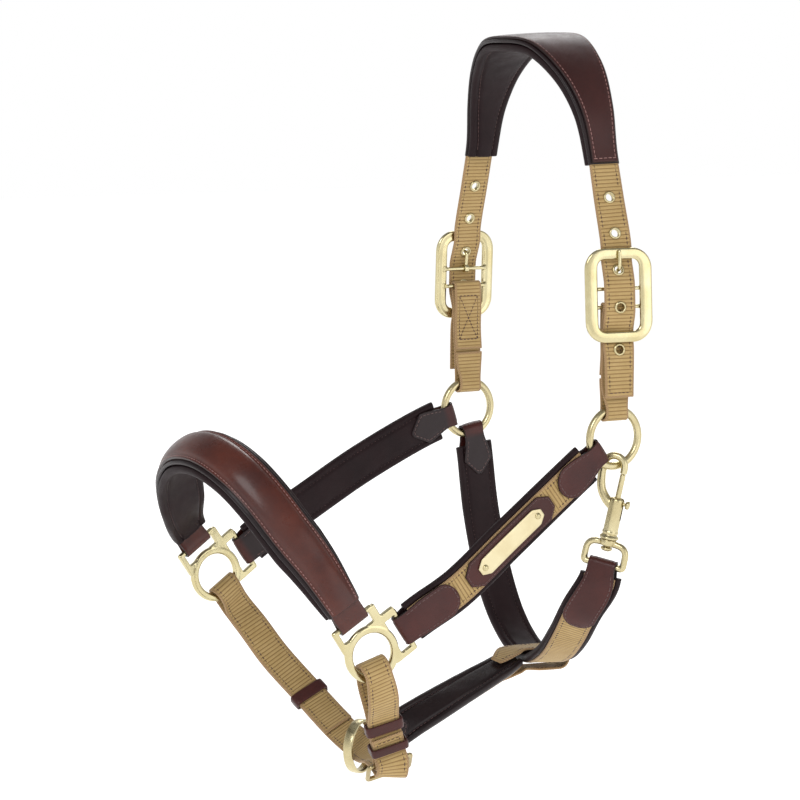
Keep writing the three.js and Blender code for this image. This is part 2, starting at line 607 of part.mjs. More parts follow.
function chinPieces() {
  const doubled = fold({ at: 0, h: 0, radius: 6.2, reach: 4.6, legs: 1.2, outerLength: chin.length,
    innerLength: 150, settle: 18 });
  add('chin_strap', strip(chin, doubled, (share, s) => WEB_WIDTH - 3.5 * nearness(s, 0, 14), WEB_THICK),
    webbing);
  keeper('chin_keeper_far', chin, KEEPERS.far, -2.8, 2.8, 10);

  const end = chinNear.length;
  const bow = CHIN_BUCKLE.wire + AIR + WEB_THICK / 2;
  const path = join(
    [[49, -1.2], [38, -1.3], [31, -3.6], [20, -7.6], [8, -9.4]], arc(-6, 0, 9, 265, 95, 10),
    [[8, 9.4], [20, 7.6], [31, 3.6], [38, 1.3], [49, 1.2], [58, 1.2], [end - 10, 1.3], [end - 4.5, 2.4]],
    arc(end, 0, bow, 90, -90, 6), [[end - 4.5, -2.4], [end - 10, -1.3], [51.2, -1.2]],
  );
  add('chin_chape', strip(chinNear, path, (share, s) => WEB_WIDTH - 3.5 * nearness(s, -10, 16),
    WEB_THICK), webbing);
  keeper('chin_keeper_upper', chinNear, KEEPERS.upper, -2.8, 2.8, 9);
  keeper('chin_keeper_lower', chinNear, KEEPERS.lower, -2.8, TAIL_LIFT + 2.8 + 1.2, 7);
  chinBuckle();
  chinRing();
}

// A frame of round wire with one straight bar for the chape.
function chinBuckle() {
  const { half, length, wire: r, aim } = CHIN_BUCKLE;
  const across = chinNear.samples.at(-1).w.clone();
  const along = aim.clone().addScaledVector(across, -aim.dot(across)).normalize();
  const at = (x, y) => CHIN_BAR.clone().addScaledVector(across, x).addScaledVector(along, y);
  const corners = [at(-half, 0), at(half, 0), at(half, length), at(-half, length)];
  const rods = corners.map((c, i) => rodBetween(c, corners[(i + 1) % 4], r, 8));
  const knees = corners.map((c) => new THREE.SphereGeometry(r * 1.06, 8, 6).translate(...c.toArray()));
  add('chin_buckle', joined(...rods, ...knees), brass);
}

const CHIN_CENTRE = vec(...CHIN_RING.centre);
const ringTurn = THREE.MathUtils.degToRad(CHIN_RING.turn);
const RING_AXIS = vec(Math.cos(ringTurn), Math.sin(ringTurn), 0);
const RING_BACK = vec(-Math.sin(ringTurn), Math.cos(ringTurn), 0);

function chinRing() {
  const { radius, band, wall } = CHIN_RING;
  const [a, b, h] = [radius - wall / 2, radius + wall / 2, band / 2];
  const rim = turned([[a, 0.8 - h], [a + 0.8, -h], [b - 0.8, -h], [b, 0.8 - h], [b, h - 0.8],
    [b - 0.8, h],
    [a + 0.8, h], [a, h - 0.8], [a, 0.8 - h]], 32);
  add('chin_ring', place(rim, CHIN_CENTRE, RING_BACK.clone(), vec(0, 0, 1), RING_AXIS), brass);
}

// ---------- throat strap and snap ----------
const snapFrame = localFrame(vec(106.5, 8.6, -374), vec(0.135, 0.16, 0.978), vec(0.64, -0.77, 0));
const EYE_BAR = pointIn(snapFrame, 0, SNAP.eyeBar, 0);

function throatRoute() {
  const facing = snapFrame.n;
  const atEye = (down) => pointIn(snapFrame, 0, SNAP.eyeBar - down, 0).addScaledVector(facing,
    -ROD_H).toArray();
  const points = [
    [RIGHT * RING_X + ROD_H, RING_Y, RING_Z], [-110.6, 18, -328], [-107.5, 23, -380], [-91, 25, -430],
    [-69, 25, -464],
    [-40, 23.5, -485], [-14, 22, -490.5], [28, 11, -479], [64, 0, -457], [91, -5, -430], atEye(16),
    atEye(0),
  ];
  const normals = [
    [-1, 0, 0], [-1, 0, 0], [-1, 0.05, -0.3], [-0.9, 0.1, -0.5], [-0.6, 0.05, -0.8],
    [-0.3, 0, -1], [-0.05, 0, -1], [0.3, -0.25, -0.9], [0.5, -0.5, -0.7], [0.6, -0.65, -0.5],
    [0.64, -0.72, -0.3], facing.toArray(),
  ];
  return new Route(points, normals, 260);
}
const throat = throatRoute();

function throatStrap() {
  const { length } = throat;
  paddedStrap('throat', throat, RING_RADIUS + 10, length - 9, 28);
  tab('throat_tab_right', throat, { at: RING_RADIUS, radius: RING_WIRE + AIR + LEATHER / 2,
    reach: RING_REACH },
    { waist: TAB_AT_RING, outerLength: 40, innerLength: 34 });
  tab('throat_tab_left', throat, { at: length, dir: -1, radius: SNAP.eyeWire + AIR + LEATHER / 2 },
    { waist: 22, outerLength: 58, innerLength: 40 });
}

function snapEye() {
  const { eyeBar, eyeHalf, eyeWire } = SNAP;
  const turnAt = [[-eyeHalf, eyeBar], [-eyeHalf, -8], [-eyeHalf + 5, -2], [eyeHalf - 5, -2],
    [eyeHalf, -8], [eyeHalf, eyeBar]]
    .map(([x, y]) => vec(x, y, 0));
  const rods = turnAt.map((p, i) => rodBetween(p, turnAt[(i + 1) % 6], eyeWire, 8));
  const knees = turnAt.map((p) => new THREE.SphereGeometry(eyeWire * 1.05, 8,
    6).translate(...p.toArray()));
  const boss = new THREE.CylinderGeometry(6.2, 5.6, 5.6, 18).translate(0, -1.2, 0);
  const hole = new THREE.CylinderGeometry(2.8, 2.8, 12, 14).translate(0, -1, 0);
  add('snap_eye', placeIn(cut(joined(...rods, ...knees, boss), hole), snapFrame), brass);
}

// The barrel turns in the eye. Its hook rises on one side, curls over and comes down to meet the bolt.
function snapBody() {
  const { hook, hookWire, bore, barrel } = SNAP;
  const stem = new THREE.LatheGeometry([[0, -8], [3.2, -7.8], [4.4, -6.4], [4.4, -5], [2.4, -5],
    [2.4, 1.9], [7, 1.9],
    [7.4, 3.5], [6, 5.5], [barrel, 7], [barrel, 33.4], [barrel - 0.8, 34.2],
    [0, 34.2]].map((p) => new THREE.Vector2(...p)), 20);
  const top = 57.5;
  const bend = [[-2, 27], [-8.5, 31], [-14, 38], [-2 * hook, 48], [-2 * hook, top]];
  const over = [150, 120, 90, 60, 30, 0].map((d) => {
    const a = THREE.MathUtils.degToRad(d);
    return [-hook + hook * Math.cos(a), top + hook * Math.sin(a)];
  });
  const arm = wire([...bend, ...over, [0, 53.4]].map(([x, y]) => vec(x, y, 0)), hookWire, 5, 30);
  const room = new THREE.CylinderGeometry(bore, bore, 29, 14).translate(0, 7.5 + 14.5, 0);
  const slot = new THREE.BoxGeometry(9, 20, 3.4).translate(4.5, 27.5, 0);
  add('snap_body', placeIn(cut(joined(stem, arm), room, slot), snapFrame), brass);
}

function snapBolt() {
  const { bolt } = SNAP;
  const rod = new THREE.CylinderGeometry(bolt, bolt, 33.8, 14).translate(0, 19.2 + 16.9, 0);
  const neck = rodBetween(vec(0, 30.5, 0), vec(8, 30.5, 0), 1.3, 10);
  const knob = new THREE.CylinderGeometry(3.2, 2.6, 2.6, 14).rotateZ(-Math.PI / 2).translate(8.6, 30.5,
    0);
  add('snap_bolt', placeIn(joined(rod, neck, knob), snapFrame), brass);
}

function snapSpring() {
  const turns = 3;
  const coil = Array.from({ length: 8 * turns + 1 }, (_, i) => {
    const a = (i * Math.PI) / 4;
    return vec(1.9 * Math.cos(a), 8.1 + (2.4 * i) / (8 * turns), 1.9 * Math.sin(a));
  });
  add('snap_spring', placeIn(wire(coil, 0.3, 2, 30), snapFrame), springSteel);
}

// ---------- jowl strap ----------
// It is sewn round the back of the chin ring and ends in a loop of webbing round the throat strap.
const JOWL = { width: 25, lining: 28 };

const LOOP_AT = -14; // where along the throat strap the jowl strap's loop sits

function jowlRoute() {
  const rise = THREE.MathUtils.degToRad(-4);
  const radial = RING_BACK.clone().multiplyScalar(Math.cos(rise)).add(vec(0, 0, Math.sin(rise)));
  const fromRing = (r) => CHIN_CENTRE.clone().addScaledVector(radial, r).addScaledVector(RING_AXIS,
    ROD_H).toArray();
  const round = throat.samples.find((f) => f.p.x >= LOOP_AT);
  const across = (y) => round.p.clone().addScaledVector(round.w, -y).toArray();
  const points = [fromRing(CHIN_RING.radius), fromRing(CHIN_RING.radius + 16), [0.5, -104, -523],
    [-4, -60, -508],
    [-10, -20, -495.5], across(-20), across(0), across(20)];
  const side = RING_AXIS.clone().negate().toArray();
  const under = round.n.toArray();
  return new Route(points, [side, side, [-0.7, -0.2, -0.65], [-0.5, 0, -0.9], [-0.2, 0, -1], under, under,
    under], 200);
}

function jowlStrap() {
  const route = jowlRoute();
  const end = route.length - 20;
  add('jowl_webbing', strip(route, straight(17, 0, end - 26, 0, 18), JOWL.width, WEB_THICK), webbing);
  add('jowl_lining', strip(route, straight(17, LINING_H, end - 26, LINING_H, 18), JOWL.lining,
    LINING_THICK), softLining);
  tab('jowl_tab', route, { at: 0, radius: 7, depth: 4.8, reach: 0.6, legs: TAB_LEGS + 0.5 },
    { waist: 14, outerLength: 62, innerLength: 42, full: 24 });
  const loop = fold({ at: end, h: ROD_H, dir: -1, radius: 8.2, legs: TAB_LEGS + 2.8, reach: 14,
    outerLength: 48, innerLength: 44,
    settle: 24 });
  const tapered = (share) => WEB_WIDTH * Math.min(1, 0.42 + 4 * Math.min(share, 1 - share));
  add('jowl_loop', strip(route, loop, tapered, WEB_THICK), webbing);
}

crown();
[[LEFT, 'left'], [RIGHT, 'right']].forEach(([side, label]) => {
  billet(side, label);
  buckle(side, label);
  chape(side, label);
  cheekRing(side, label);
  square(side, label);
  cheekStrap(side, label);
});
namePlate();
noseband();
chinPieces();
throatStrap();
snapEye();
snapBody();
snapBolt();
snapSpring();
jowlStrap();

export default headcollar;
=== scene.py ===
"""The looks of a leather and webbing headcollar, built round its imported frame.

Lengths in the shapes are in millimetres, and make() turns them into metres.
"""
import math

import bmesh
import bpy
import numpy as np
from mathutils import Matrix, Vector

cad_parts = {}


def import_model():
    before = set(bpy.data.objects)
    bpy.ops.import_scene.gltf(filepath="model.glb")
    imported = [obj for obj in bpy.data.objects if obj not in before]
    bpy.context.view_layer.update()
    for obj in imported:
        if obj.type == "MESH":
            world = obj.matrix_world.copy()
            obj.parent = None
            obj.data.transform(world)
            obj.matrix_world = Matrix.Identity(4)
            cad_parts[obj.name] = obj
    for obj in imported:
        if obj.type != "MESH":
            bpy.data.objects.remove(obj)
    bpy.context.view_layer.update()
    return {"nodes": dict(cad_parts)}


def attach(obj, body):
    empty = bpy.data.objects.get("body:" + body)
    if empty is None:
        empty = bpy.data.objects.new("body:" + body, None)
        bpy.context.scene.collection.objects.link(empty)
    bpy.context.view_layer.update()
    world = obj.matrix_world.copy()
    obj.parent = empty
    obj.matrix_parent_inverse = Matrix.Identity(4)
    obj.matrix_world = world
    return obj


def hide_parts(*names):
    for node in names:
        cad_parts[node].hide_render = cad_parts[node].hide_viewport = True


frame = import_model()
MM = 0.001
SIDES = ((1, "left"), (-1, "right"))

# ---------- driving dimensions ----------
WEB_WIDTH, WEB_THICK, LEATHER, AIR = 25.0, 2.0, 2.0, 0.4
WEBBING_THICK = WEB_THICK - 0.2  # between the ribs
LINING_WIDTH, LINING_THICK, TAB_WIDTH, TAB_AT_RING = 33.0, 5.0, 27.0, 17.5
RIB = 2.9  # pitch of the webbing's ribs
RING_RADIUS, RING_WIRE, RING_REACH = 22.0, 3.0, 3.5
RING_X, RING_Y, RING_Z = 108.0, 12.0, -294.0
BUCKLE = dict(x=110.5, z=-184.0, lean=3.0, width=54.0, height=72.0, corner=16.0, thick=4.0, lift=3.7)
WINDOW = dict(width=34.0, height=55.0, corner=6.0)
EYELET_LEVELS = (75, 47, 19, -9, -41.5)
SQUARE_HOLE, SQUARE_OUTER, SQUARE_BAR, SQUARE_HALF_BAR, SQUARE_ROD = 16.0, 22.0, 31.0, 16.5, 2.1
SLOT_EDGE = 20.0  # from the middle of a square to the straight edge of its slots
CHIN_CENTRE, CHIN_TURN, CHIN_RADIUS = (20.0, -162.0, -532.5), 33.0, 19.7
SNAP_EYE_BAR, SNAP_EYE_HALF, SNAP_EYE_WIRE, SNAP_HOOK, SNAP_WIRE = -19.0, 15.9, 2.6, 8.2, 2.8


# ---------- vectors, curves and routes ----------
def vec(*xyz):
    return np.array(xyz, float)


def unit(a):
    return a / np.linalg.norm(a, axis=-1, keepdims=True)


def catmull(points, u):
    """Points at shares u of a centripetal Catmull-Rom curve."""
    p = np.array(points, float)
    q = (len(p) - 1) * np.asarray(u, float)
    i = np.minimum(q.astype(int), len(p) - 2)
    x = (q - i)[:, None]
    padded = np.vstack([2 * p[0] - p[1], p, 2 * p[-1] - p[-2]])
    p0, p1, p2, p3 = (padded[i + k] for k in range(4))
    gap = lambda a, b: (np.sum((a - b) ** 2, axis=1) ** 0.25)[:, None]
    d1 = gap(p1, p2)
    d1 = np.where(d1 < 1e-4, 1.0, d1)
    d0, d2 = gap(p0, p1), gap(p2, p3)
    d0, d2 = np.where(d0 < 1e-4, d1, d0), np.where(d2 < 1e-4, d1, d2)
    t1 = d1 * ((p1 - p0) / d0 - (p2 - p0) / (d0 + d1) + (p2 - p1) / d1)
    t2 = d1 * ((p2 - p1) / d1 - (p3 - p1) / (d1 + d2) + (p3 - p2) / d2)
    return p1 + t1 * x + (3 * (p2 - p1) - 2 * t1 - t2) * x**2 + (2 * (p1 - p2) + t1 + t2) * x**3


def lengths(p):
    return np.concatenate([[0], np.cumsum(np.linalg.norm(np.diff(p, axis=0), axis=1))])


def columns(at, s, rows):
    return np.stack([np.interp(at, s, rows[:, k]) for k in range(rows.shape[1])], axis=1)


class Route:
    """A smooth line with an outward normal at each point; s is the distance along it."""

    def __init__(self, points, normals, samples=900):
        u = np.linspace(0, 1, samples + 1)
        self.p = catmull(points, u)
        self.t = unit(catmull(points, np.minimum(u + 1e-4, 1)) - catmull(points, np.maximum(u - 1e-4, 0)))
        n = catmull(normals, u)
        self.n = unit(n - self.t * np.sum(n * self.t, axis=1)[:, None])
        self.s = lengths(self.p)
        self.length = self.s[-1]

    def at(self, s):
        s = np.atleast_1d(np.asarray(s, float))
        p, t, n = (columns(s, self.s, x) for x in (self.p, self.t, self.n))
        t, n = unit(t), unit(n)
        over = np.where(s < 0, s, np.where(s > self.length, s - self.length, 0))
        return p + t * over[:, None], t, n, np.cross(n, t)


def straight(s0, h0, s1, h1, steps):
    return [(s0 + (s1 - s0) * k / steps, h0 + (h1 - h0) * k / steps) for k in range(steps + 1)]


def arc(s, h, r, start, end, steps):
    turn = np.radians(np.linspace(start, end, steps + 1))
    return [(s + r * math.cos(a), h + r * math.sin(a)) for a in turn]


def fold(at, h, direction, radius, outer, inner, depth=None, reach=0.0, legs=None, settle=12.0):
    """The path of a strip folded round a rod, from its outer end to its inner end."""
    legs = radius if legs is None else legs
    squash = 1.0 if depth is None else depth / radius
    steps = lambda length: max(1, round((length - settle) / 8))
    path = straight(outer, legs, settle, legs, steps(outer))
    path += [(settle * 0.55, legs * 0.6 + radius * 0.4), (0, radius)]
    path += [(s * squash - reach, up) for s, up in arc(0, 0, radius, 90, 270, 12)]
    path += [(0, -radius), (settle * 0.55, -legs * 0.6 - radius * 0.4)]
    path += straight(settle, -legs, inner, -legs, steps(inner))
    return [(at + direction * s, h + up) for s, up in path]


def chaikin(path, rounds=2):
    p = np.array(path, float)
    keep = np.concatenate([[True], np.linalg.norm(np.diff(p, axis=0), axis=1) > 0.2])
    p = p[keep]
    for _ in range(rounds):
        q = np.empty((2 * len(p) - 2, 2))
        q[0::2] = 0.75 * p[:-1] + 0.25 * p[1:]
        q[1::2] = 0.25 * p[:-1] + 0.75 * p[1:]
        p = np.vstack([p[0], q[1:-1], p[-1]])
    return p


# ---------- meshes ----------
def grid(points, wrap=False, caps=True):
    """Vertices and faces of closed loops (stations, loop, 3) joined in order."""
    stations, loop = points.shape[:2]
    k = np.arange(loop)
    nxt = (k + 1) % loop
    faces = []
    for i in range(stations if wrap else stations - 1):
        a, b = i * loop, ((i + 1) % stations) * loop
        faces += np.stack([a + k, a + nxt, b + nxt, b + k], axis=1).tolist()
    if caps and not wrap:
        faces += [k[::-1].tolist(), ((stations - 1) * loop + k).tolist()]
    return points.reshape(-1, 3), faces


def merged(parts):
    verts, faces, start = [], [], 0
    for v, f in parts:
        verts.append(v)
        faces += [[i + start for i in face] for face in f]
        start += len(v)
    return np.vstack(verts), faces


def make(name, shape, strap=None, sharp=40, scale=MM):
    """A smooth-shaded object from vertices and faces. strap holds each vertex's place on its strap."""
    verts, faces = shape
    mesh = bpy.data.meshes.new(name)
    mesh.from_pydata((verts * scale).tolist(), [], faces)
    if strap is not None:
        mesh.attributes.new("strap", "FLOAT_VECTOR", "POINT").data.foreach_set("vector",
            strap.astype(np.float32).ravel())
    bm = bmesh.new()
    bm.from_mesh(mesh)
    bmesh.ops.recalc_face_normals(bm, faces=bm.faces)
    bm.to_mesh(mesh)
    bm.free()
    mesh.shade_smooth()
    mesh.set_sharp_from_angle(angle=math.radians(sharp))
    obj = bpy.data.objects.new(name, mesh)
    bpy.context.scene.collection.objects.link(obj)
    return obj


def baked(obj, scale=1.0):
    """Applies the object's modifiers."""
    bpy.context.view_layer.update()
    seen = obj.evaluated_get(bpy.context.evaluated_depsgraph_get())
    mesh = bpy.data.meshes.new_from_object(seen)
    mesh.name = obj.name
    mesh.transform(((scale, 0, 0, 0), (0, scale, 0, 0), (0, 0, scale, 0), (0, 0, 0, 1)))
    obj.modifiers.clear()
    obj.data = mesh
    return obj


def cast(name, parts, voxel=0.45, rounds=4, keep=0.55):
    """One solid of overlapping parts with soft fillets where they meet, as a casting has."""
    obj = make(name, merged(parts), scale=1.0)
    remesh = obj.modifiers.new("union", "REMESH")
    remesh.mode, remesh.voxel_size = "VOXEL", voxel
    soften = obj.modifiers.new("fillets", "SMOOTH")
    soften.factor, soften.iterations = 0.5, rounds
    fewer = obj.modifiers.new("fewer", "DECIMATE")
    fewer.ratio = keep
    baked(obj, MM)
    obj.data.shade_smooth()
    return obj


def local_frame(origin, v, n):
    """(origin, u, v, n): v kept, n squared to it."""
    up = unit(np.array(v, float))
    out = np.array(n, float)
    out = unit(out - up * (out @ up))
    return np.array(origin, float), np.cross(up, out), up, out


def in_frame(f, points):
    origin, u, v, n = f
    p = np.asarray(points, float)
    return origin + p[..., :1] * u + p[..., 1:2] * v + p[..., 2:3] * n


def lathe(f, profile, sides=48, axis="n", closed=True):
    """A profile of (radius, height) turned about the frame's n or v axis."""
    turn = np.linspace(0, 2 * math.pi, sides, endpoint=False)
    r, h = np.array(profile, float).T
    c, s = np.cos(turn)[:, None] * r, np.sin(turn)[:, None] * r
    hh = np.broadcast_to(h, c.shape)
    local = np.stack([c, s, hh] if axis == "n" else [s, hh, c], axis=-1)
    if closed:
        return grid(in_frame(f, local), wrap=True)
    return grid(np.swapaxes(in_frame(f, local), 0, 1))


def tube(points, radius, sides=20, up=(0.13, 0.41, 0.9)):
    """A round wire along points; radius is a number or one for each point."""
    p = np.array(points, float)
    t = unit(np.gradient(p, axis=0))
    a = np.zeros_like(p)
    last = np.cross(t[0], up)
    for i, d in enumerate(t):
        last = unit(last - d * (last @ d))
        a[i] = last
    b = np.cross(t, a)
    turn = np.linspace(0, 2 * math.pi, sides, endpoint=False)
    r = np.broadcast_to(np.asarray(radius, float), (len(p),))[:, None, None]
    ring = a[:, None] * np.cos(turn)[:, None] + b[:, None] * np.sin(turn)[:, None]
    return grid(p[:, None] + r * ring)


def bent(corners, radii, steps=7):
    """A closed line through corners, each rounded by its own reach."""
    c = np.array(corners, float)
    out = []
    for i, r in enumerate(radii):
        before, after = c[i - 1] - c[i], c[(i + 1) % len(c)] - c[i]
        a = c[i] + unit(before) * min(r, np.linalg.norm(before) / 2.05)
        b = c[i] + unit(after) * min(r, np.linalg.norm(after) / 2.05)
        k = np.linspace(0, 1, steps)[:, None]
        out.append((1 - k) ** 2 * a + 2 * k * (1 - k) * c[i] + k**2 * b)
    return np.vstack(out)


def bent_wire(points, n, radius, sides=24):
    """A closed round wire along flat points; n is the normal of their plane."""
    t = unit(np.roll(points, -1, axis=0) - np.roll(points, 1, axis=0))
    b = np.cross(t, n)
    turn = np.linspace(0, 2 * math.pi, sides, endpoint=False)
    ring = b[:, None] * np.cos(turn)[:, None] + np.asarray(n) * np.sin(turn)[:, None]
    return grid(points[:, None] + radius * ring, wrap=True)


def rod(a, b, r, sides=20):
    """A straight rod with rounded ends."""
    a, b = np.array(a, float), np.array(b, float)
    d, length = unit(b - a), np.linalg.norm(b - a)
    swell = [(0, 0.2), (0.12, 0.6), (0.4, 0.88), (0.9, 1)]
    along = [k * r for k, _ in swell] + [length - k * r for k, _ in reversed(swell)]
    size = [r * w for _, w in swell] + [r * w for _, w in reversed(swell)]
    return tube([a + d * k for k in along], size, sides)


def box(f, lo, hi):
    ends = (lo, hi)
    corners = [[ends[i][0], ends[j][1], ends[k][2]] for k in (0, 1) for j in (0, 1) for i in (0, 1)]
    faces = [[0, 2, 3, 1], [4, 5, 7, 6], [0, 1, 5, 4], [1, 3, 7, 5], [3, 2, 6, 7], [2, 0, 4, 6]]
    return in_frame(f, corners), faces


# ---------- bands: straps, linings and tabs ----------
def bump(x):
    return np.exp(-(x**2))


def ramp(x):
    x = np.clip(x, 0, 1)
    return x * x * (3 - 2 * x)


class Band:
    """A strip along a path beside a route. L is the distance along its middle, y across, z outwards."""

    def __init__(self, route, path, width, thick, step=1.2, top=None, bottom=None, rounds=2):
        dense = chaikin(path, rounds)
        d = lengths(dense)
        fine = np.arange(0, d[-1], 0.4)
        sh = columns(np.append(fine, d[-1]), d, dense)
        p, _, n, w = route.at(sh[:, 0])
        self.p = p + n * sh[:, 1:2]
        self.w, self.s, self.L = w, sh[:, 0], lengths(self.p)
        self.t = unit(np.gradient(self.p, self.L, axis=0))
        self.n = unit(np.cross(self.t, w))
        self.total, self.step, self.thick = self.L[-1], step, thick
        self.width_of = width if callable(width) else lambda share, s: np.full(np.shape(share),
            float(width))
        self.top, self.bottom = top, bottom

    def width(self, along):
        return self.width_of(along / self.total, np.interp(along, self.L, self.s))

    def frames(self, along):
        return tuple(columns(along, self.L, x) for x in (self.p, self.w, self.n))

    def height(self, along, y, side):
        shape = self.top if side > 0 else self.bottom
        extra = np.zeros(len(along)) if shape is None else shape(along, y, self.width(along), self.total)
        return side * (self.thick / 2 + extra)

    def point(self, along, y, z):
        p, w, n = self.frames(along)
        return p + w * np.asarray(y)[:, None] + n * np.asarray(z)[:, None]

    def shape(self, edge=0.8, cols=9):
        inset = np.array([0, 0.25, 0.6, 1.1, 1.8, 2.8])
        inset = inset[inset < self.total / 4]
        middle = np.arange(inset[-1] + 0.5 * self.step, self.total - inset[-1], self.step)
        along = np.concatenate([inset, middle, self.total - inset[::-1]])
        wide = self.width(along)[:, None]
        r = np.minimum(edge, wide * 0.45)
        across = np.linspace(-1, 1, cols)
        y = across[None] * (wide / 2 - r)
        rows = np.broadcast_to(along[:, None], y.shape)
        flat = lambda side: self.height(rows.ravel(), y.ravel(), side).reshape(y.shape)
        hi, lo = flat(1), flat(-1)
        from_end = np.clip(np.minimum(along, self.total - along) / 0.8, 0, 1)
        thin = (0.45 + 0.55 * np.sin(from_end * math.pi / 2))[:, None]
        hi, lo = hi * thin, lo * thin
        a = np.radians([60, 30, 0, -30, -60])[None]
        def flank(col, sign):
            mid, half = (hi[:, col] + lo[:, col])[:, None] / 2, (hi[:, col] - lo[:, col])[:, None] / 2
            return sign * (wide / 2 - r) + sign * r * np.cos(a), mid + half * np.sin(a)
        (yr, zr), (yl, zl) = flank(-1, 1), flank(0, -1)
        ys = np.concatenate([y, yr, y[:, ::-1], yl[:, ::-1]], axis=1)
        zs = np.concatenate([hi, zr, lo[:, ::-1], zl[:, ::-1]], axis=1)
        p, w, n = self.frames(along)
        points = p[:, None] + w[:, None] * ys[..., None] + n[:, None] * zs[..., None]
        ends = np.minimum(along, self.total - along)[:, None]
        rim = np.minimum(wide / 2 - np.abs(ys), ends + 0 * ys)
        strap = np.stack([np.broadcast_to(along[:, None], ys.shape), ys, rim], axis=-1)
        return grid(points), strap.reshape(-1, 3)


def ribs(along, y, wide, total):
    """Cross ribs between two finer woven edges."""
    inner = ramp((wide / 2 - 1.6 - np.abs(y)) / 0.8)
    rib = np.abs(np.sin(math.pi * along / RIB)) ** 0.7
    edge = 0.10 * np.sin(2 * math.pi * (along * 0.9 + np.abs(y)) / 1.3)
    return inner * 0.38 * (rib - 0.8) + (1 - inner) * edge - 0.05


def padded_inside(groove):
    """The horse's side of a lining: a soft middle, a sewn channel on each side and rolled edges."""

    def shape(along, y, wide, total):
        lane = wide / 2 - groove
        middle = 0.9 * np.sqrt(np.clip(1 - (y / lane) ** 2, 0, 1))
        ripple = 0.10 * np.sin(along / 4.1 + 1.3 * np.sin(along / 13.0)) * np.sin(y / 3.3 + along / 17)
        roll = 0.35 * bump((np.abs(y) - (wide / 2 - groove / 2)) / (groove / 3))
        return middle + roll + ripple - 1.15 * bump((np.abs(y) - lane) / 0.9)
    return shape


def rolled_outside(rise, inset=2.6):
    """The outer side of a lining: flat under the webbing, with a roll standing up along each edge."""
    return lambda along, y, wide, total: rise * bump((np.abs(y) - (wide / 2 - inset)) / 1.7)


# ---------- materials ----------
class Look:
    """A node material: node() makes a node, link() joins sockets."""

    def __init__(self, name, rough=0.5, metal=0.0, **fixed):
        self.material = bpy.data.materials.new(name)
        self.material.use_nodes = True
        self.tree = self.material.node_tree
        self.shader = self.tree.nodes["Principled BSDF"]
        self.set(self.shader, Roughness=rough, Metallic=metal, **fixed)
        self.place = self.node("ShaderNodeTexCoord").outputs["Object"]
        self.heights = []

    def set(self, node, **values):
        for key, value in values.items():
            node.inputs[key.replace("_", " ")].default_value = value

    def node(self, kind, **props):
        made = self.tree.nodes.new(kind)
        for key, value in props.items():
            setattr(made, key, value)
        return made

    def link(self, a, b):
        self.tree.links.new(a, b)

    def math(self, operation, a, b=0.0, c=0.0):
        made = self.node("ShaderNodeMath", operation=operation)
        for socket, value in zip(made.inputs, (a, b, c)):
            if isinstance(value, (int, float)):
                socket.default_value = value
            else:
                self.link(value, socket)
        return made.outputs[0]

    def noise(self, scale, detail=3.0, rough=0.55, where=None):
        made = self.node("ShaderNodeTexNoise")
        self.set(made, Scale=scale, Detail=detail, Roughness=rough)
        self.link(where or self.place, made.inputs["Vector"])
        return made.outputs["Fac"]

    def cells(self, scale):
        made = self.node("ShaderNodeTexVoronoi", feature="DISTANCE_TO_EDGE")
        self.set(made, Scale=scale)
        self.link(self.place, made.inputs["Vector"])
        return made.outputs["Distance"]

    def span(self, value, a, b, to_a=0.0, to_b=1.0):
        made = self.node("ShaderNodeMapRange")
        for key, x in zip(("From Min", "From Max", "To Min", "To Max"), (a, b, to_a, to_b)):
            made.inputs[key].default_value = x
        self.link(value, made.inputs["Value"])
        return made.outputs["Result"]

    def mix(self, share, a, b):
        made = self.node("ShaderNodeMix", data_type="RGBA")
        for socket, value in ((made.inputs[6], a), (made.inputs[7], b)):
            if isinstance(value, tuple):
                socket.default_value = (*value, 1)
            else:
                self.link(value, socket)
        self.link(share, made.inputs[0])
        return made.outputs[2]

    def strap(self):
        """(along, across, distance from the edge), in millimetres."""
        split = self.node("ShaderNodeSeparateXYZ")
        source = self.node("ShaderNodeAttribute", attribute_name="strap")
        self.link(source.outputs["Vector"], split.inputs[0])
        return split.outputs[0], split.outputs[1], split.outputs[2]

    def colour(self, value):
        self.link(value, self.shader.inputs["Base Color"])

    def roughness(self, value):
        self.link(value, self.shader.inputs["Roughness"])

    def relief(self, height, distance, strength=1.0):
        made = self.node("ShaderNodeBump")
        self.set(made, Distance=distance, Strength=strength)
        self.link(height, made.inputs["Height"])
        if self.heights:
            self.link(self.heights[-1], made.inputs["Normal"])
        self.heights.append(made.outputs[0])
        self.link(made.outputs[0], self.shader.inputs["Normal"])


DARK_RED, DARK_LINING = (0.010, 0.004, 0.004), (0.005, 0.003, 0.003)


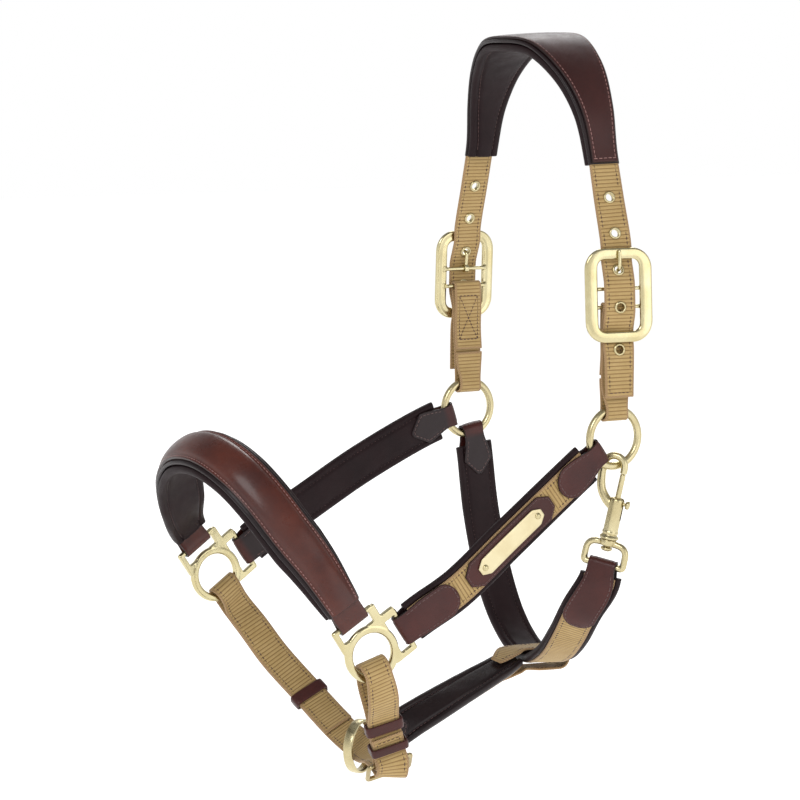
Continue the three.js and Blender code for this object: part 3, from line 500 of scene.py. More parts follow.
def leather(name, base, warm, rough, grain, coat, dark=DARK_RED, edge=True, shine=0.26):
    """Grained hide: clouds of colour, fine pores, darker edge paint where it was cut, and painted shade on
    the inner end of a tab.
    """
    look = Look(name, rough, Specular_IOR_Level=shine, Coat_Weight=coat, Coat_Roughness=0.22)
    clouds = look.span(look.noise(38, 4), 0.32, 0.68)
    tone = look.mix(clouds, base, warm)
    pores = look.cells(grain)
    tone = look.mix(look.span(pores, 0.0, 0.12, 0.45, 0.0), tone, dark)
    if edge:
        rim = look.strap()[2]
        ragged = look.math("ADD", rim, look.math("MULTIPLY", look.noise(900, 2), 0.5))
        tone = look.mix(look.span(ragged, 0.25, 1.0, 0.92, 0.0), tone, dark)
        # Painted shade: the inner end of a tab, on the horse's side, is coloured dark.
        inner = look.node("ShaderNodeAttribute", attribute_name="inner_end_shade").outputs["Fac"]
        tone = look.mix(inner, tone, (0.017, 0.008, 0.009))
    look.colour(tone)
    look.roughness(look.math("ADD", look.span(look.noise(120, 5), 0.3, 0.7, rough - 0.05, rough + 0.09),
        look.span(pores, 0.0, 0.1, 0.1, 0.0)))
    look.relief(look.noise(grain * 1.7, 4, 0.6), 0.00012, 0.5)
    look.relief(look.span(pores, 0.0, 0.18), 0.00010, 0.45)
    look.relief(look.noise(75, 2), 0.0006, 0.35)
    return look.material


def webbing_material():
    look = Look("ribbed_webbing", 0.72, Specular_IOR_Level=0.35, Sheen_Weight=0.25, Sheen_Roughness=0.4)
    along, across, rim = look.strap()
    wave = look.math("ABSOLUTE", look.math("SINE", look.math("MULTIPLY", along, math.pi / RIB)))
    crest = look.math("POWER", wave, 0.6)
    mixed = look.node("ShaderNodeCombineXYZ")
    look.link(look.math("MULTIPLY", along, 0.35), mixed.inputs[0])
    look.link(look.math("MULTIPLY", across, 4.2), mixed.inputs[1])
    fibres = look.noise(1.0, 2, 0.5, mixed.outputs[0])
    tone = look.mix(look.span(look.noise(60, 3), 0.3, 0.7), (0.44, 0.300, 0.118), (0.52, 0.365, 0.160))
    tone = look.mix(look.span(fibres, 0.25, 0.8, 0.0, 0.5), tone, (0.32, 0.20, 0.070))
    # Painted shade and highlight: the valleys between the ribs are coloured dark and the crests keep the
    # lighter tone, as if lit across the ribs.
    painted_rib_shade = look.mix(look.span(crest, 0.15, 0.80), (0.185, 0.105, 0.034), tone)
    twill_wave = look.math("SINE", look.math("MULTIPLY",
        look.math("ADD", look.math("MULTIPLY", along, 0.9), look.math("ABSOLUTE", across)),
        2 * math.pi / 1.3))
    twill = look.mix(look.span(twill_wave, -0.5, 0.6), (0.22, 0.115, 0.060), (0.47, 0.325, 0.150))
    look.colour(look.mix(look.span(rim, 1.3, 2.1), twill, painted_rib_shade))
    look.roughness(look.span(fibres, 0.2, 0.8, 0.62, 0.85))
    look.relief(fibres, 0.00016, 0.8)
    look.relief(look.noise(2600, 2), 0.00008, 0.5)
    return look.material


def metal(name, base, worn, rough, brushed=0.0):
    """Cast and polished metal with faint clouds, hairline scratches and slight waviness."""
    look = Look(name, rough, 1.0)
    clouds = look.span(look.noise(55, 4), 0.3, 0.7)
    look.colour(look.mix(clouds, base, worn))
    stretched = look.node("ShaderNodeMapping")
    look.set(stretched, Scale=(220, 2600, 700), Rotation=(0.5, 0.2, 0.6))
    look.link(look.place, stretched.inputs["Vector"])
    hair = look.noise(1.0, 4, 0.7, stretched.outputs[0])
    look.roughness(look.math("ADD", look.span(hair, 0.35, 0.75, rough - 0.05, rough + 0.08 + brushed),
        look.span(look.noise(320, 3), 0.4, 0.8, 0.0, 0.05)))
    look.relief(hair, 0.00003, 0.25 + brushed)
    look.relief(look.noise(110, 2), 0.00025, 0.10)
    return look.material


def thread(name, light, dark):
    look = Look(name, 0.6, Sheen_Weight=0.2)
    look.colour(look.mix(look.span(look.noise(1500, 2), 0.35, 0.65), dark, light))
    look.relief(look.noise(3800, 2), 0.0001, 0.6)
    return look.material


HAVANA = leather("burgundy_leather", (0.046, 0.0085, 0.0070), (0.070, 0.013, 0.0095), 0.36, 1500, 0.16)
POLISHED = leather("polished_burgundy", (0.056, 0.0100, 0.0060), (0.104, 0.0190, 0.0085), 0.30, 1700, 0.38,
                   dark=(0.012, 0.004, 0.004))
CROWN_HIDE = leather("crown_burgundy", (0.037, 0.0085, 0.0075), (0.050, 0.0120, 0.0100), 0.40, 1500, 0.10)
DARK_TAB = leather("dark_leather", (0.036, 0.0080, 0.0075), (0.052, 0.0115, 0.0100), 0.36, 1500, 0.16)
LINING = leather("soft_lining", (0.0140, 0.0066, 0.0078), (0.0205, 0.0095, 0.0108), 0.45, 2100, 0.0,
                 dark=DARK_LINING, edge=False, shine=0.15)
GLOSSY_LINING = leather("glossy_lining", (0.0115, 0.0056, 0.0066), (0.0170, 0.0082, 0.0092), 0.30, 2100,
                        0.2, dark=DARK_LINING, edge=False, shine=0.18)
WEBBING = webbing_material()
BRASS = metal("polished_brass", (0.66, 0.595, 0.37), (0.56, 0.48, 0.26), 0.19)
SATIN = metal("satin_brass", (0.64, 0.565, 0.345), (0.53, 0.45, 0.25), 0.27, 0.05)
# Painted shade: a darker copy of the brass for the chin buckle, which hangs in shadow.
SHADED_BRASS = metal("shaded_chin_brass", (0.50, 0.42, 0.24), (0.36, 0.28, 0.14), 0.22)
PLATE = metal("plate_brass", (0.70, 0.62, 0.40), (0.62, 0.53, 0.32), 0.33, 0.10)
STEEL = metal("spring_steel", (0.60, 0.60, 0.60), (0.45, 0.45, 0.45), 0.35)
BROWN_THREAD = thread("brown_thread", (0.085, 0.028, 0.024), (0.040, 0.014, 0.012))
PINK_THREAD = thread("pale_thread", (0.36, 0.18, 0.165), (0.20, 0.09, 0.08))
DULL_THREAD = thread("dull_thread", (0.125, 0.060, 0.055), (0.060, 0.028, 0.026))


def piece(obj, body, material, replaces=()):
    obj.data.materials.clear()
    obj.data.materials.append(material)
    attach(obj, body)
    if replaces:
        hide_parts(*([replaces] if isinstance(replaces, str) else replaces))
    return obj


def lay(name, body, band, material, replaces=(), edge=0.8, cols=9):
    shape, strap = band.shape(edge, cols)
    return piece(make(name, shape, strap, sharp=60), body, material, replaces)


def woven(node, body, route, path, width=WEB_WIDTH):
    """A webbing strap ribbed on both sides, in place of a CAD node."""
    band = Band(route, path, width, WEBBING_THICK, RIB / 6, top=ribs, bottom=ribs)
    return band, lay(f"{node}_webbing", body, band, WEBBING, node, edge=0.7, cols=17)


def fitting(made, body, node, material=SATIN):
    """A piece of metal in place of a CAD node; made is a casting, or a name and the shape to make."""
    obj = make(*made, sharp=70) if isinstance(made, tuple) else made
    piece(obj, body, material, node)


# ---------- sewing ----------
SUNK = dict(lift=-0.1)  # stitches pulled into the weave
WEB_SEAM = 3.6  # rows of stitches in from the edges of a webbing strap
# Along a stitch: share of its length, share of its radius, height.
STITCH_RINGS = ((0.0, 0.45, -0.28), (0.16, 0.9, 0.02), (0.5, 1.0, 0.12), (0.84, 0.9, 0.02),
                (1.0, 0.45, -0.28))


def stitches(band, line, side, pitch=3.5, radius=0.36, lift=0.0, share=0.84):
    """Short threads laid along a line of (along, y) on one side of a band."""
    line = np.array(line, float)
    d = lengths(line)
    count = max(2, int(d[-1] / pitch))
    starts = np.linspace(0, d[-1], count + 1)[:-1]
    ends = starts + share * d[-1] / count
    a, b = columns(starts, d, line), columns(ends, d, line)

    def world(q):
        z = band.height(q[:, 0], q[:, 1], side) + side * lift
        return band.point(q[:, 0], q[:, 1], z)
    pa, pb = world(a), world(b)
    up = side * band.frames((a[:, 0] + b[:, 0]) / 2)[2]
    along = unit(pb - pa)
    cross = unit(np.cross(up, along))
    up = np.cross(along, cross)
    turn = np.linspace(0, 2 * math.pi, 6, endpoint=False)
    parts = []
    for k, size, sink in STITCH_RINGS:
        centre = pa + (pb - pa) * k + up * sink
        ring = cross[:, None] * np.cos(turn)[:, None] + up[:, None] * (0.85 * np.sin(turn))[:, None]
        parts.append(centre[:, None] + radius * size * ring)
    return [grid(rings) for rings in np.stack(parts, axis=1)]


def sew(name, body, material, *rows):
    """One piece of thread for all the rows; a row is (band, line, side) and its options."""
    parts = []
    for band, line, side, *options in rows:
        parts += stitches(band, line, side, **(options[0] if options else {}))
    return piece(make(name, merged(parts), sharp=80), body, material)


def edge_lines(band, inset, start, end, steps=60):
    """Two lines a fixed distance inside the band's edges."""
    along = np.linspace(start, end, steps)
    y = band.width(along) / 2 - inset
    return [np.stack([along, k * y], axis=1) for k in (1, -1)]


def both_faces(band, start, end, steps):
    """Rows of stitches along both edges, on both sides of a webbing strap."""
    lines = edge_lines(band, WEB_SEAM, start, band.total - end, steps)
    return [(band, line, face, SUNK) for line in lines for face in (1, -1)]


def sew_pad(name, body, pad, inset, margin, steps=60, lift=0.12):
    """Fine stitches along the inside of a lining pad's rolled edges."""
    lines = edge_lines(pad, inset, margin, pad.total - margin, steps)
    sew(name, body, DULL_THREAD, *[(pad, line, -1, dict(lift=lift, radius=0.3)) for line in lines])


def tip_line(band, inset, start, tip):
    """A line that follows the outline of a tip, from one side round to the other."""
    inward = 1 if start > tip else -1
    along = np.linspace(start, tip + inward * inset, 60)
    y = np.maximum(band.width(along) / 2 - inset, 0)
    half = np.stack([along, y], axis=1)
    return np.vstack([half, half[::-1] * (1, -1)])


# ---------- headpiece ----------
CROWN = dict(reach=146.0, end=27.0, middle=61.0, cover=2.2, lining=7.0)
HEAD_RISE = CROWN["lining"] + AIR + WEB_THICK / 2


def head_route():
    lean = math.tan(math.radians(BUCKLE["lean"]))
    on_buckle = lambda v: (BUCKLE["x"] - v * lean, RING_Y, BUCKLE["z"] + v)
    half = [(34, 6.5, 5), (62, 9, -15), (80, 11, -44), (89, RING_Y, -78), (98.3, RING_Y, -111),
            on_buckle(38), on_buckle(28), on_buckle(0), on_buckle(-36), on_buckle(-48),
            (113.6, RING_Y, -262), (114, RING_Y, -300)]
    leans = [(0.3, -0.05, 1), (0.75, -0.04, 0.7), (1, 0, 0.35), (1, 0, 0.3), (1, 0, 0.26), (1, 0, 0.07),
             (1, 0, 0.05), (1, 0, 0.05), (1, 0, 0.05), (1, 0, 0.04), (1, 0, 0.02), (1, 0, 0)]
    near_turn = (0, 0, 0.03, 0.09, 0.18, 0.24, 0.24, 0.24, 0.24, 0.14, 0.04, 0)
    near = [(x, y - turn, z) for (x, y, z), turn in zip(leans, near_turn)]
    mirror = lambda rows: [(-x, y, z) for x, y, z in reversed(rows)]
    return Route([*mirror(half), (0, 5.5, HEAD_RISE), *half], [*mirror(leans), (0, -0.05, 1), *near], 1600)


head = head_route()
POLL = head.length / 2


def depth_of(z):
    below = (head.s > POLL) & (head.p[:, 2] <= z)
    return head.s[np.argmax(below)] - POLL


BUCKLE_D = depth_of(BUCKLE["z"])
RING_D = depth_of(RING_Z + RING_RADIUS)


def on_side(side, path):
    return [(POLL + side * d, h) for d, h in path]


def down(v):
    """Distance from the poll of a level v above the buckle's middle."""
    return BUCKLE_D - v


def crown():
    reach, end, wide = CROWN["reach"], CROWN["end"], CROWN["middle"]
    spread = lambda less: lambda share, s: end + (wide - end) * np.sin(math.pi * share) ** 2 - less
    run = lambda h, r=reach: on_side(1, straight(-r, h, r, h, 60))

    def soft(along, y, w, total):
        mid = bump((along - total / 2) / 46)
        folds = np.sin(along / 2.1 + 2.2 * np.sin(y / 9 + along / 31)) + 0.6 * np.sin(along / 3.7 - y / 6)
        lane = w / 2 - 6.5
        bulge = 1.3 * np.sqrt(np.clip(1 - (y / lane) ** 2, 0, 1)) - 1.2 * bump((np.abs(y) - lane) / 1.0)
        return bulge + 0.38 * mid * folds * ramp((lane - np.abs(y)) / 8)

    def domed(along, y, w, total):
        dome = np.sqrt(np.clip(1 - (y / (w / 2)) ** 2, 0, 1))
        return 0.9 * dome - 0.35 * bump((w / 2 - np.abs(y) - 2.2) / 0.9)

    thick = CROWN["cover"]
    cover = Band(head, run(WEB_THICK / 2 + AIR + thick / 2), spread(5), thick, 1.5, top=domed)
    binding = Band(head, run(-0.1, reach + 1), spread(0.6), 3.0, 1.5)
    pad = Band(head, run(-5.1), spread(0.4), 6.2, 1.1, bottom=soft)
    lay("crown_cover_leather", "headpiece", cover, CROWN_HIDE, "crown_cover", edge=0.9,
        cols=21)
    lay("crown_edge_binding", "headpiece", binding, GLOSSY_LINING, edge=1.5, cols=7)
    lay("crown_pad", "headpiece", pad, LINING, "crown_lining", edge=2.9, cols=33)
    across = [(3.0, y) for y in np.linspace(-10, 10, 12)]
    edges = edge_lines(cover, 2.4, 3.0, cover.total - 3.0, 200)
    rows = [(cover, line, 1, dict(lift=0.02)) for line in edges]
    rows += [(cover, across, 1), (cover, [(cover.total - a, y) for a, y in across], 1)]
    sew("crown_cover_stitching", "headpiece", PINK_THREAD, *rows)
    sew_pad("crown_pad_stitching", "headpiece", pad, 6.5, 6.0, 200, 0.3)


def carve(obj, *tools):
    """Cut the tools out of an object, then remove them."""
    for tool in tools:
        cut = obj.modifiers.new("cut", "BOOLEAN")
        cut.operation, cut.object, cut.solver = "DIFFERENCE", tool, "EXACT"
    baked(obj)
    for tool in tools:
        bpy.data.objects.remove(tool)


def billet_path():
    path = straight(104, 0, down(30), 0, 10)
    path += [(down(v), h) for v, h in ((27, 0.2), (19, 3), (11, 5.8), (7.5, 6.2), (0, 6.2), (-8, 6.2),
        (-14, 6), (-20, 3.2), (-27, 0.1), (-30, 0), (-34, 0.1), (-39, 1.3))]
    return path + straight(down(-44), 1.7, depth_of(-262), 1.7, 3)


def billet_frame(side, level):
    path = np.array(billet_path())
    h = np.interp(down(level), path[:, 0], path[:, 1])
    slope = (np.interp(down(level) + 1, path[:, 0], path[:, 1]) - h)
    p, t, n, _ = (x[0] for x in head.at(POLL + side * down(level)))
    return local_frame(p + n * h, -(t * side + n * slope), n)


def billet(side, label):
    band, obj = woven(f"billet_{label}", "headpiece", head, on_side(side, billet_path()))
    frames = [billet_frame(side, level) for level in EYELET_LEVELS]
    punch = make("punch", merged([lathe(f, [(0.01, -5), (3.6, -5), (3.6, 5), (0.01, 5)], 28,
        closed=False) for f in frames]))
    material = obj.data.materials[0]
    carve(obj, punch)
    obj.data.materials.clear()
    obj.data.materials.append(material)
    for i, f in enumerate(frames):
        z = WEB_THICK / 2 + 0.35
        half = [(3.0, 0), (3.0, z + 0.35), (3.25, z + 0.72), (3.7, z + 0.86), (4.2, z + 0.68),
                (4.75, z + 0.12), (4.7, z - 0.2), (3.5, z - 0.25)]
        profile = half + [(r, -h) for r, h in reversed(half[1:])]
        node = f"eyelet_{label}_{i + 1}"
        fitting((f"{node}_rim", lathe(f, profile, 36)), "headpiece", node)
    tail = [(band.total - WEB_SEAM, y) for y in np.linspace(-8.9, 8.9, 10)]
    rows = both_faces(band, 0.5, WEB_SEAM, 200) + [(band, tail, face, SUNK) for face in (1, -1)]
    sew(f"billet_{label}_stitching", "headpiece", BROWN_THREAD, *rows)


def outline(width, height, corner, count=128):
    """Points round a rounded rectangle, by angle."""
    a = np.linspace(0, 2 * math.pi, count, endpoint=False) + 0.01
    d = np.stack([np.cos(a), np.sin(a)], axis=1)
    core = np.array([width / 2 - corner, height / 2 - corner])
    far = np.zeros(count)
    for i, (dx, dy) in enumerate(np.abs(d)):
        lo, hi = 0.0, 200.0
        for _ in range(40):
            mid = (lo + hi) / 2
            out = np.maximum(np.array([dx, dy]) * mid - core, 0)
            lo, hi = (mid, hi) if math.hypot(*out) < corner else (lo, mid)
        far[i] = lo
    return d * far[:, None]


def rounded_band(f, outer, inner, profile):
    """A flat ring between two outlines; profile is (share from inner to outer, height)."""
    share, h = np.array(profile, float).T
    flat = inner[:, None] + (outer - inner)[:, None] * share[None, :, None]
    local = np.concatenate([flat, np.broadcast_to(h[None, :, None], (*flat.shape[:2], 1))], axis=2)
    return grid(in_frame(f, local), wrap=True)


def buckle(side, label):
    p, t, n, _ = (x[0] for x in head.at(POLL + side * BUCKLE_D))
    f = local_frame(p, -t * side, n)
    lift, half = BUCKLE["lift"], WINDOW["width"] / 2
    top, low = lift + 2, lift - 2
    profile = [(0, low + 1.1), (0, top - 1.1), (0.05, top - 0.5), (0.14, top - 0.12), (0.32, top),
               (0.6, top), (0.85, top - 0.22), (0.95, top - 0.6), (1, top - 1.3), (1, low + 1.2),
               (0.94, low + 0.45), (0.8, low + 0.05), (0.5, low + 0.5), (0.2, low + 0.05),
               (0.06, low + 0.45)]
    sizes = [(BUCKLE["width"], BUCKLE["height"], BUCKLE["corner"]),
             (WINDOW["width"], WINDOW["height"], WINDOW["corner"])]
    outer, inner = (outline(*size) for size in sizes)
    parts = [rounded_band(f, outer, inner, profile)]
    bar_ends = (-half - 1.5, half + 1.5)
    for v, h, r in ((5, 1.4, 1.6), (-9, 0, 1.6)):
        ends = in_frame(f, [(x, v, h) for x in bar_ends])
        parts.append(rod(*ends, r))
        parts += [box(f, (x - 1.3, v - r, h - 0.6), (x + 1.3, v + r, lift)) for x in bar_ends]
    node = f"buckle_frame_{label}"
    fitting(cast(f"{node}_cast", parts, 0.5, 3), "headpiece", node, BRASS)
    v, h = 5, 1.4
    eye_axis = (in_frame(f, [(0, v, h)])[0], f[2], f[3], f[1])
    eye = lathe(eye_axis, [(1.85, -1.7), (2.1, -1.95), (3.1, -1.95), (3.4, -1.6), (3.4, 1.6), (3.1, 1.95),
                           (2.1, 1.95), (1.85, 1.7)], 36)
    line = [(0, v + 2.4, h - 0.2), (0, 12.5, 0.5), (0, 16.9, 0.4), (0, 18.5, 2), (0, 19.5, 4.6),
            (0, 21.4, 6.8), (0, 25, 7.55), (0, 30, 7.6), (0, 34.8, 7.5)]
    smooth = catmull(in_frame(f, line), np.linspace(0, 1, 60))
    size = 1.42 * np.interp(np.linspace(0, 1, 60), [0, 0.1, 0.75, 0.96, 1], [1, 1, 1.0, 0.9, 0.5])
    node = f"buckle_tongue_{label}"
    fitting(cast(f"{node}_cast", [eye, tube(smooth, size)], 0.28, 3), f"tongue_{label}", node, BRASS)


def chape(side, label):
    top, low = down(-9), RING_X - 114
    ring_bow, middle = RING_WIRE + AIR + WEB_THICK / 2, (down(-9) + RING_D) / 2
    path = [(top + 52, low - 1.2), (top + 34, -4.7), (top + 18, -4.8), (top + 8, -3.9)]
    path += arc(top, 0, 1.6 + AIR + WEB_THICK / 2, 285, 75, 12)
    path += [(top + 8, 0.4), (top + 18, -2.4), (top + 34, -2.3), (top + 52, low + 1.2),
             (middle + 22, low + 1.2), (RING_D - 14, low + 1.4), (RING_D - 6, low + 3.4),
             (RING_D, low + ring_bow)]
    path += arc(RING_D + RING_REACH, low, ring_bow, 90, -90, 12)
    path += [(RING_D, low - ring_bow), (RING_D - 6, low - 3.4), (RING_D - 14, low - 1.4),
             (top + 54.5, low - 1.2)]
    width = lambda share, s: WEB_WIDTH - 5.5 * bump((s - (POLL + side * RING_D)) / 12)
    band, _ = woven(f"chape_{label}", "headpiece", head, on_side(side, path), width)
    inner_leg = 8.0
    outer_leg = band.L[np.argmin(np.abs(band.s - (POLL + side * (top + 10))) + 1000 * (band.L < 60))]
    rows = []
    for lo, hi in ((inner_leg, inner_leg + 36), (outer_leg, outer_leg + 36)):
        y = 8.6
        a, b, c, d = (lo, -y), (lo, y), (hi, -y), (hi, y)
        lines = [(a, b), (c, d), (a, c), (b, d), (a, d), (b, c)]
        rows += [(band, line, side, dict(pitch=2.9, lift=-0.02)) for line in lines]
    sew(f"chape_{label}_stitching", "headpiece", BROWN_THREAD, *rows)


# ---------- rings and squares ----------
def cheek_ring(side, label):
    f = local_frame((side * RING_X, RING_Y, RING_Z), (0, 0, 1), (side, 0, 0))
    turn = np.linspace(0, 2 * math.pi, 28, endpoint=False)
    profile = [(RING_RADIUS + RING_WIRE * math.cos(a), RING_WIRE * math.sin(a)) for a in turn]
    node = f"cheek_ring_{label}"
    fitting((f"{node}_wire", lathe(f, profile, 120)), f"ring_{label}", node)


def square_frame(side):
    y, z, turn = (-200, -441, 32.5) if side > 0 else (-222, -412, 34)
    a = math.radians(turn)
    return local_frame((side * 106, y, z), (0, -math.sin(a), math.cos(a)), (side, -0.07, 0))


squares = {side: square_frame(side) for side, _ in SIDES}


def square_point(side, u, v, n=0.0):
    return in_frame(squares[side], [(u, v, n)])[0]


def square(side, label):
    """A flat casting: a round hole with two strap slots beside it, set at a right angle."""
    f, hole, outer, bar, half = squares[side], SQUARE_HOLE, SQUARE_OUTER, SQUARE_BAR, SQUARE_HALF_BAR
    flat = [(hole, -1.2), (hole + 0.5, -2.0), (hole + 1.6, -2.45), (outer - 1.6, -2.45),
            (outer - 0.5, -2.0), (outer, -1.2), (outer, 1.2), (outer - 0.5, 2.0), (outer - 1.6, 2.45),
            (hole + 1.6, 2.45), (hole + 0.5, 2.0), (hole, 1.2)]
    parts = [lathe(f, flat, 96)]
    for quarter in (0, -side):
        a = math.radians(90 * quarter)
        cos, sin = math.cos(a), math.sin(a)
        turned = (f[0], f[1] * cos + f[2] * sin, f[2] * cos - f[1] * sin, f[3])
        outward = side if quarter == 0 else -side
        parts.append(rod(*in_frame(turned, [(-half - 2.4, bar, 0), (half + 2.4, bar, 0)]),
                         SQUARE_ROD + 0.15))
        for k in (-1, 1):
            lo, hi = k * half - 2.2, k * half + 2.2
            if k == outward:
                lo, hi = (lo, hi + 2.0) if k > 0 else (lo - 2.0, hi)
            parts.append(box(turned, (lo, 8 if k == outward else 13, -2.1), (hi, bar + 0.9, 2.1)))
        parts += [box(turned, (x, low, -2.1), (x + 4.2, SLOT_EDGE, 2.1)) for x,
                  low in web_strips(hole, half)]
    node = f"square_{label}"
    fitting(cast(f"{node}_cast", parts, 0.48, 5), "face", node, BRASS)


def web_strips(hole, half):
    """Columns that fill the body between the round hole and a slot, each starting clear of the hole."""
    out = []
    for x in np.arange(-half, half - 0.1, 3.3):
        nearest = min(abs(x), abs(x + 4.2)) if x * (x + 4.2) > 0 else 0.0
        reach = math.sqrt(max(0.0, (hole + 1.2) ** 2 - nearest**2))
        if reach < SLOT_EDGE - 0.6:
            out.append((x, reach))
    return out


# ---------- padded straps ----------
LINING_H = -(WEB_THICK / 2 + AIR + LINING_THICK / 2)
OUTER_H = WEB_THICK / 2 + AIR + LEATHER / 2
INNER_H = -(WEB_THICK / 2 + 2 * AIR + LINING_THICK + LEATHER / 2)
ROD_H = (OUTER_H + INNER_H) / 2
LEGS = (OUTER_H - INNER_H) / 2


def tab(name, body, route, at, direction, radius, waist, outer, inner,
        full=TAB_WIDTH, depth=None, reach=0.0, legs=LEGS, dark=False):
    """Leather folded round a rod: an oval tip outside, a pointed tip inside, sewn round both."""
    path = fold(at, ROD_H, direction, radius, outer, inner, depth, reach, legs)
    whole = outer + inner + 16

    def width(share, s):
        run, left = share * whole, (1 - share) * whole
        oval = np.sqrt(np.maximum(0.03, 1 - (1 - np.minimum(run / 14, 1)) ** 2))
        point = np.minimum(1, 0.14 + left / 14)
        return np.minimum(full * np.minimum(oval, point), full - (full - waist) * bump((s - at) / 15))

    def sunk(along, y, w, total):
        seam = -0.3 * bump((w / 2 - np.abs(y) - 2.2) / 0.8)
        dome = 0.3 * np.sqrt(np.clip(1 - (y / (w / 2)) ** 2, 0, 1))
        return seam + 0.14 * np.sin(along / 6 + y / 5) + dome

    face = -direction
    band = Band(route, path, width, LEATHER - 0.3, 1.0, **{"top" if face > 0 else "bottom": sunk})
    hide = DARK_TAB if dark else HAVANA
    obj = lay(f"{name}_leather", body, band, hide, name, edge=0.6, cols=15)
    strap = np.empty(3 * len(obj.data.vertices), np.float32)
    obj.data.attributes["strap"].data.foreach_get("vector", strap)
    # Painted shade: marks the inner end of the tab, which the leather material colours dark.
    shade = ramp((strap[::3] - (band.total - inner - 2)) / 6).astype(np.float32)
    obj.data.attributes.new("inner_end_shade", "FLOAT", "POINT").data.foreach_set("value", shade)
    tips = [(outer - 5, 0), (band.total - inner + 5, band.total)]
    sewn = [(band, tip_line(band, 2.3, start, tip), face) for start, tip in tips]
    sew(f"{name}_stitching", body, DULL_THREAD, *sewn)


def padded_strap(name, body, route, start, end, width=LINING_WIDTH, glossy=False):
    webs = Band(route, straight(start, 0, end, 0, 60), WEB_WIDTH, WEBBING_THICK, RIB / 6, top=ribs)
    pad = Band(route, straight(start - 1, LINING_H, end + 1, LINING_H, 60), width, LINING_THICK, 1.3,
               top=rolled_outside(1.5), bottom=padded_inside(5.6))
    lay(f"{name}_webbing_ribbed", body, webs, WEBBING, f"{name}_webbing", edge=0.7, cols=17)
    lay(f"{name}_pad", body, pad, GLOSSY_LINING if glossy else LINING, f"{name}_lining",
        edge=2.3, cols=31)
    rows = [(webs, line, 1, SUNK) for line in edge_lines(webs, 3.3, 2, webs.total - 2)]
    sew(f"{name}_stitching", body, BROWN_THREAD, *rows)
    sew_pad(f"{name}_pad_stitching", body, pad, 5.6, 4)


def cheek_route(side):
    ring, out = vec(side * RING_X, RING_Y, RING_Z), vec(-side * ROD_H, 0, 0)
    left = [(110.8, -27, -322.5), (111.5, -84, -365), (110.5, -128, -399)]
    right = [(-111.5, -27, -306.5), (-112.5, -88, -334), (-111, -140, -361.5)]
    points = [ring + out, *(left if side > 0 else right),
              square_point(side, side * (SQUARE_BAR + 17), 0) + out,
              square_point(side, side * SQUARE_BAR, 0) + out]
    n = tuple(squares[side][3])
    return Route(points, [(side, y, 0) for y in (0, -0.02, -0.04, -0.05)] + [n, n])


cheeks = {side: cheek_route(side) for side, _ in SIDES}


def cheek(side, label):
    route = cheeks[side]
    length = route.length
    padded_strap(f"cheek_{label}", "face", route, RING_RADIUS + 10, length - 9)
    tab(f"cheek_tab_upper_{label}", "face", route, RING_RADIUS, 1, RING_WIRE + AIR + LEATHER / 2,
        TAB_AT_RING, 42, 36, reach=RING_REACH)
    tab(f"cheek_tab_lower_{label}", "face", route, length, -1, SQUARE_ROD + AIR + LEATHER / 2, 24, 50, 38)


def name_plate():
    route, middle = cheeks[1], 120.0

    def hexagon(full, half, taper, least):
        return lambda share, s: full * np.minimum(1,
            least + (1 - least) * (2 * half * np.minimum(share, 1 - share)) / taper)
    patch_h = OUTER_H - 0.2
    plate_h = patch_h + 0.8 + AIR + 0.5
    patch = Band(route, straight(middle - 46, patch_h, middle + 46, patch_h, 40), hexagon(23, 46, 9, 0.42),
                 1.6, 1.0)
    lay("plate_patch_leather", "face", patch, HAVANA, "plate_patch", edge=0.5, cols=11)
    both = [tip_line(patch, 1.7, 46, 0), tip_line(patch, 1.7, 46, patch.total)]
    sew("plate_patch_stitching", "face", DULL_THREAD,
        *[(patch, line, 1, dict(pitch=3.0, radius=0.28)) for line in both])
    plate = Band(route, straight(middle - 34, plate_h, middle + 34, plate_h, 40),
                 hexagon(14, 34, 6.5, 0.42), 1.0, 1.0)
    lay("name_plate_blank", "face", plate, PLATE, "name_plate", edge=0.35, cols=9)
    for i, k in enumerate((-1, 1)):
        p, _, n, w = (x[0] for x in route.at(middle + k * 29))
        f = local_frame(p + n * (plate_h + 0.5), w, n)
        dome = [(0.01, -0.1), (2.3, -0.1), (2.45, 0.15), (2.3, 0.5), (1.9, 0.9), (1.3, 1.25), (0.6, 1.42),
                (0.01, 1.45)]
        node = f"plate_rivet_{i + 1}"
        fitting((f"{node}_head", lathe(f, dome, 36, closed=False)), "face", node)


# ---------- noseband ----------
def nose_route():
    ends = {side: [square_point(side, 0, SQUARE_BAR + d) for d in (0, 17)] for side, _ in SIDES}
    points = [*ends[1], (93, -239, -374), (82, -255, -349), (68, -268, -326), (50, -279, -307.5),
              (26, -287, -296), (0, -290, -294), (-29, -289, -301), (-56, -282, -320), (-80, -266, -349),
              *reversed(ends[-1])]
    normals = []
    for i, p in enumerate(points):
        lean = math.asin(max(-1, min(1, p[0] / 100)))
        free = (math.sin(lean), -0.58 * math.cos(lean), 0.81 * math.cos(lean))
        normals.append(squares[1][3] if i < 2 else squares[-1][3] if i > len(points) - 3 else free)
    return Route(points, normals)


nose = nose_route()


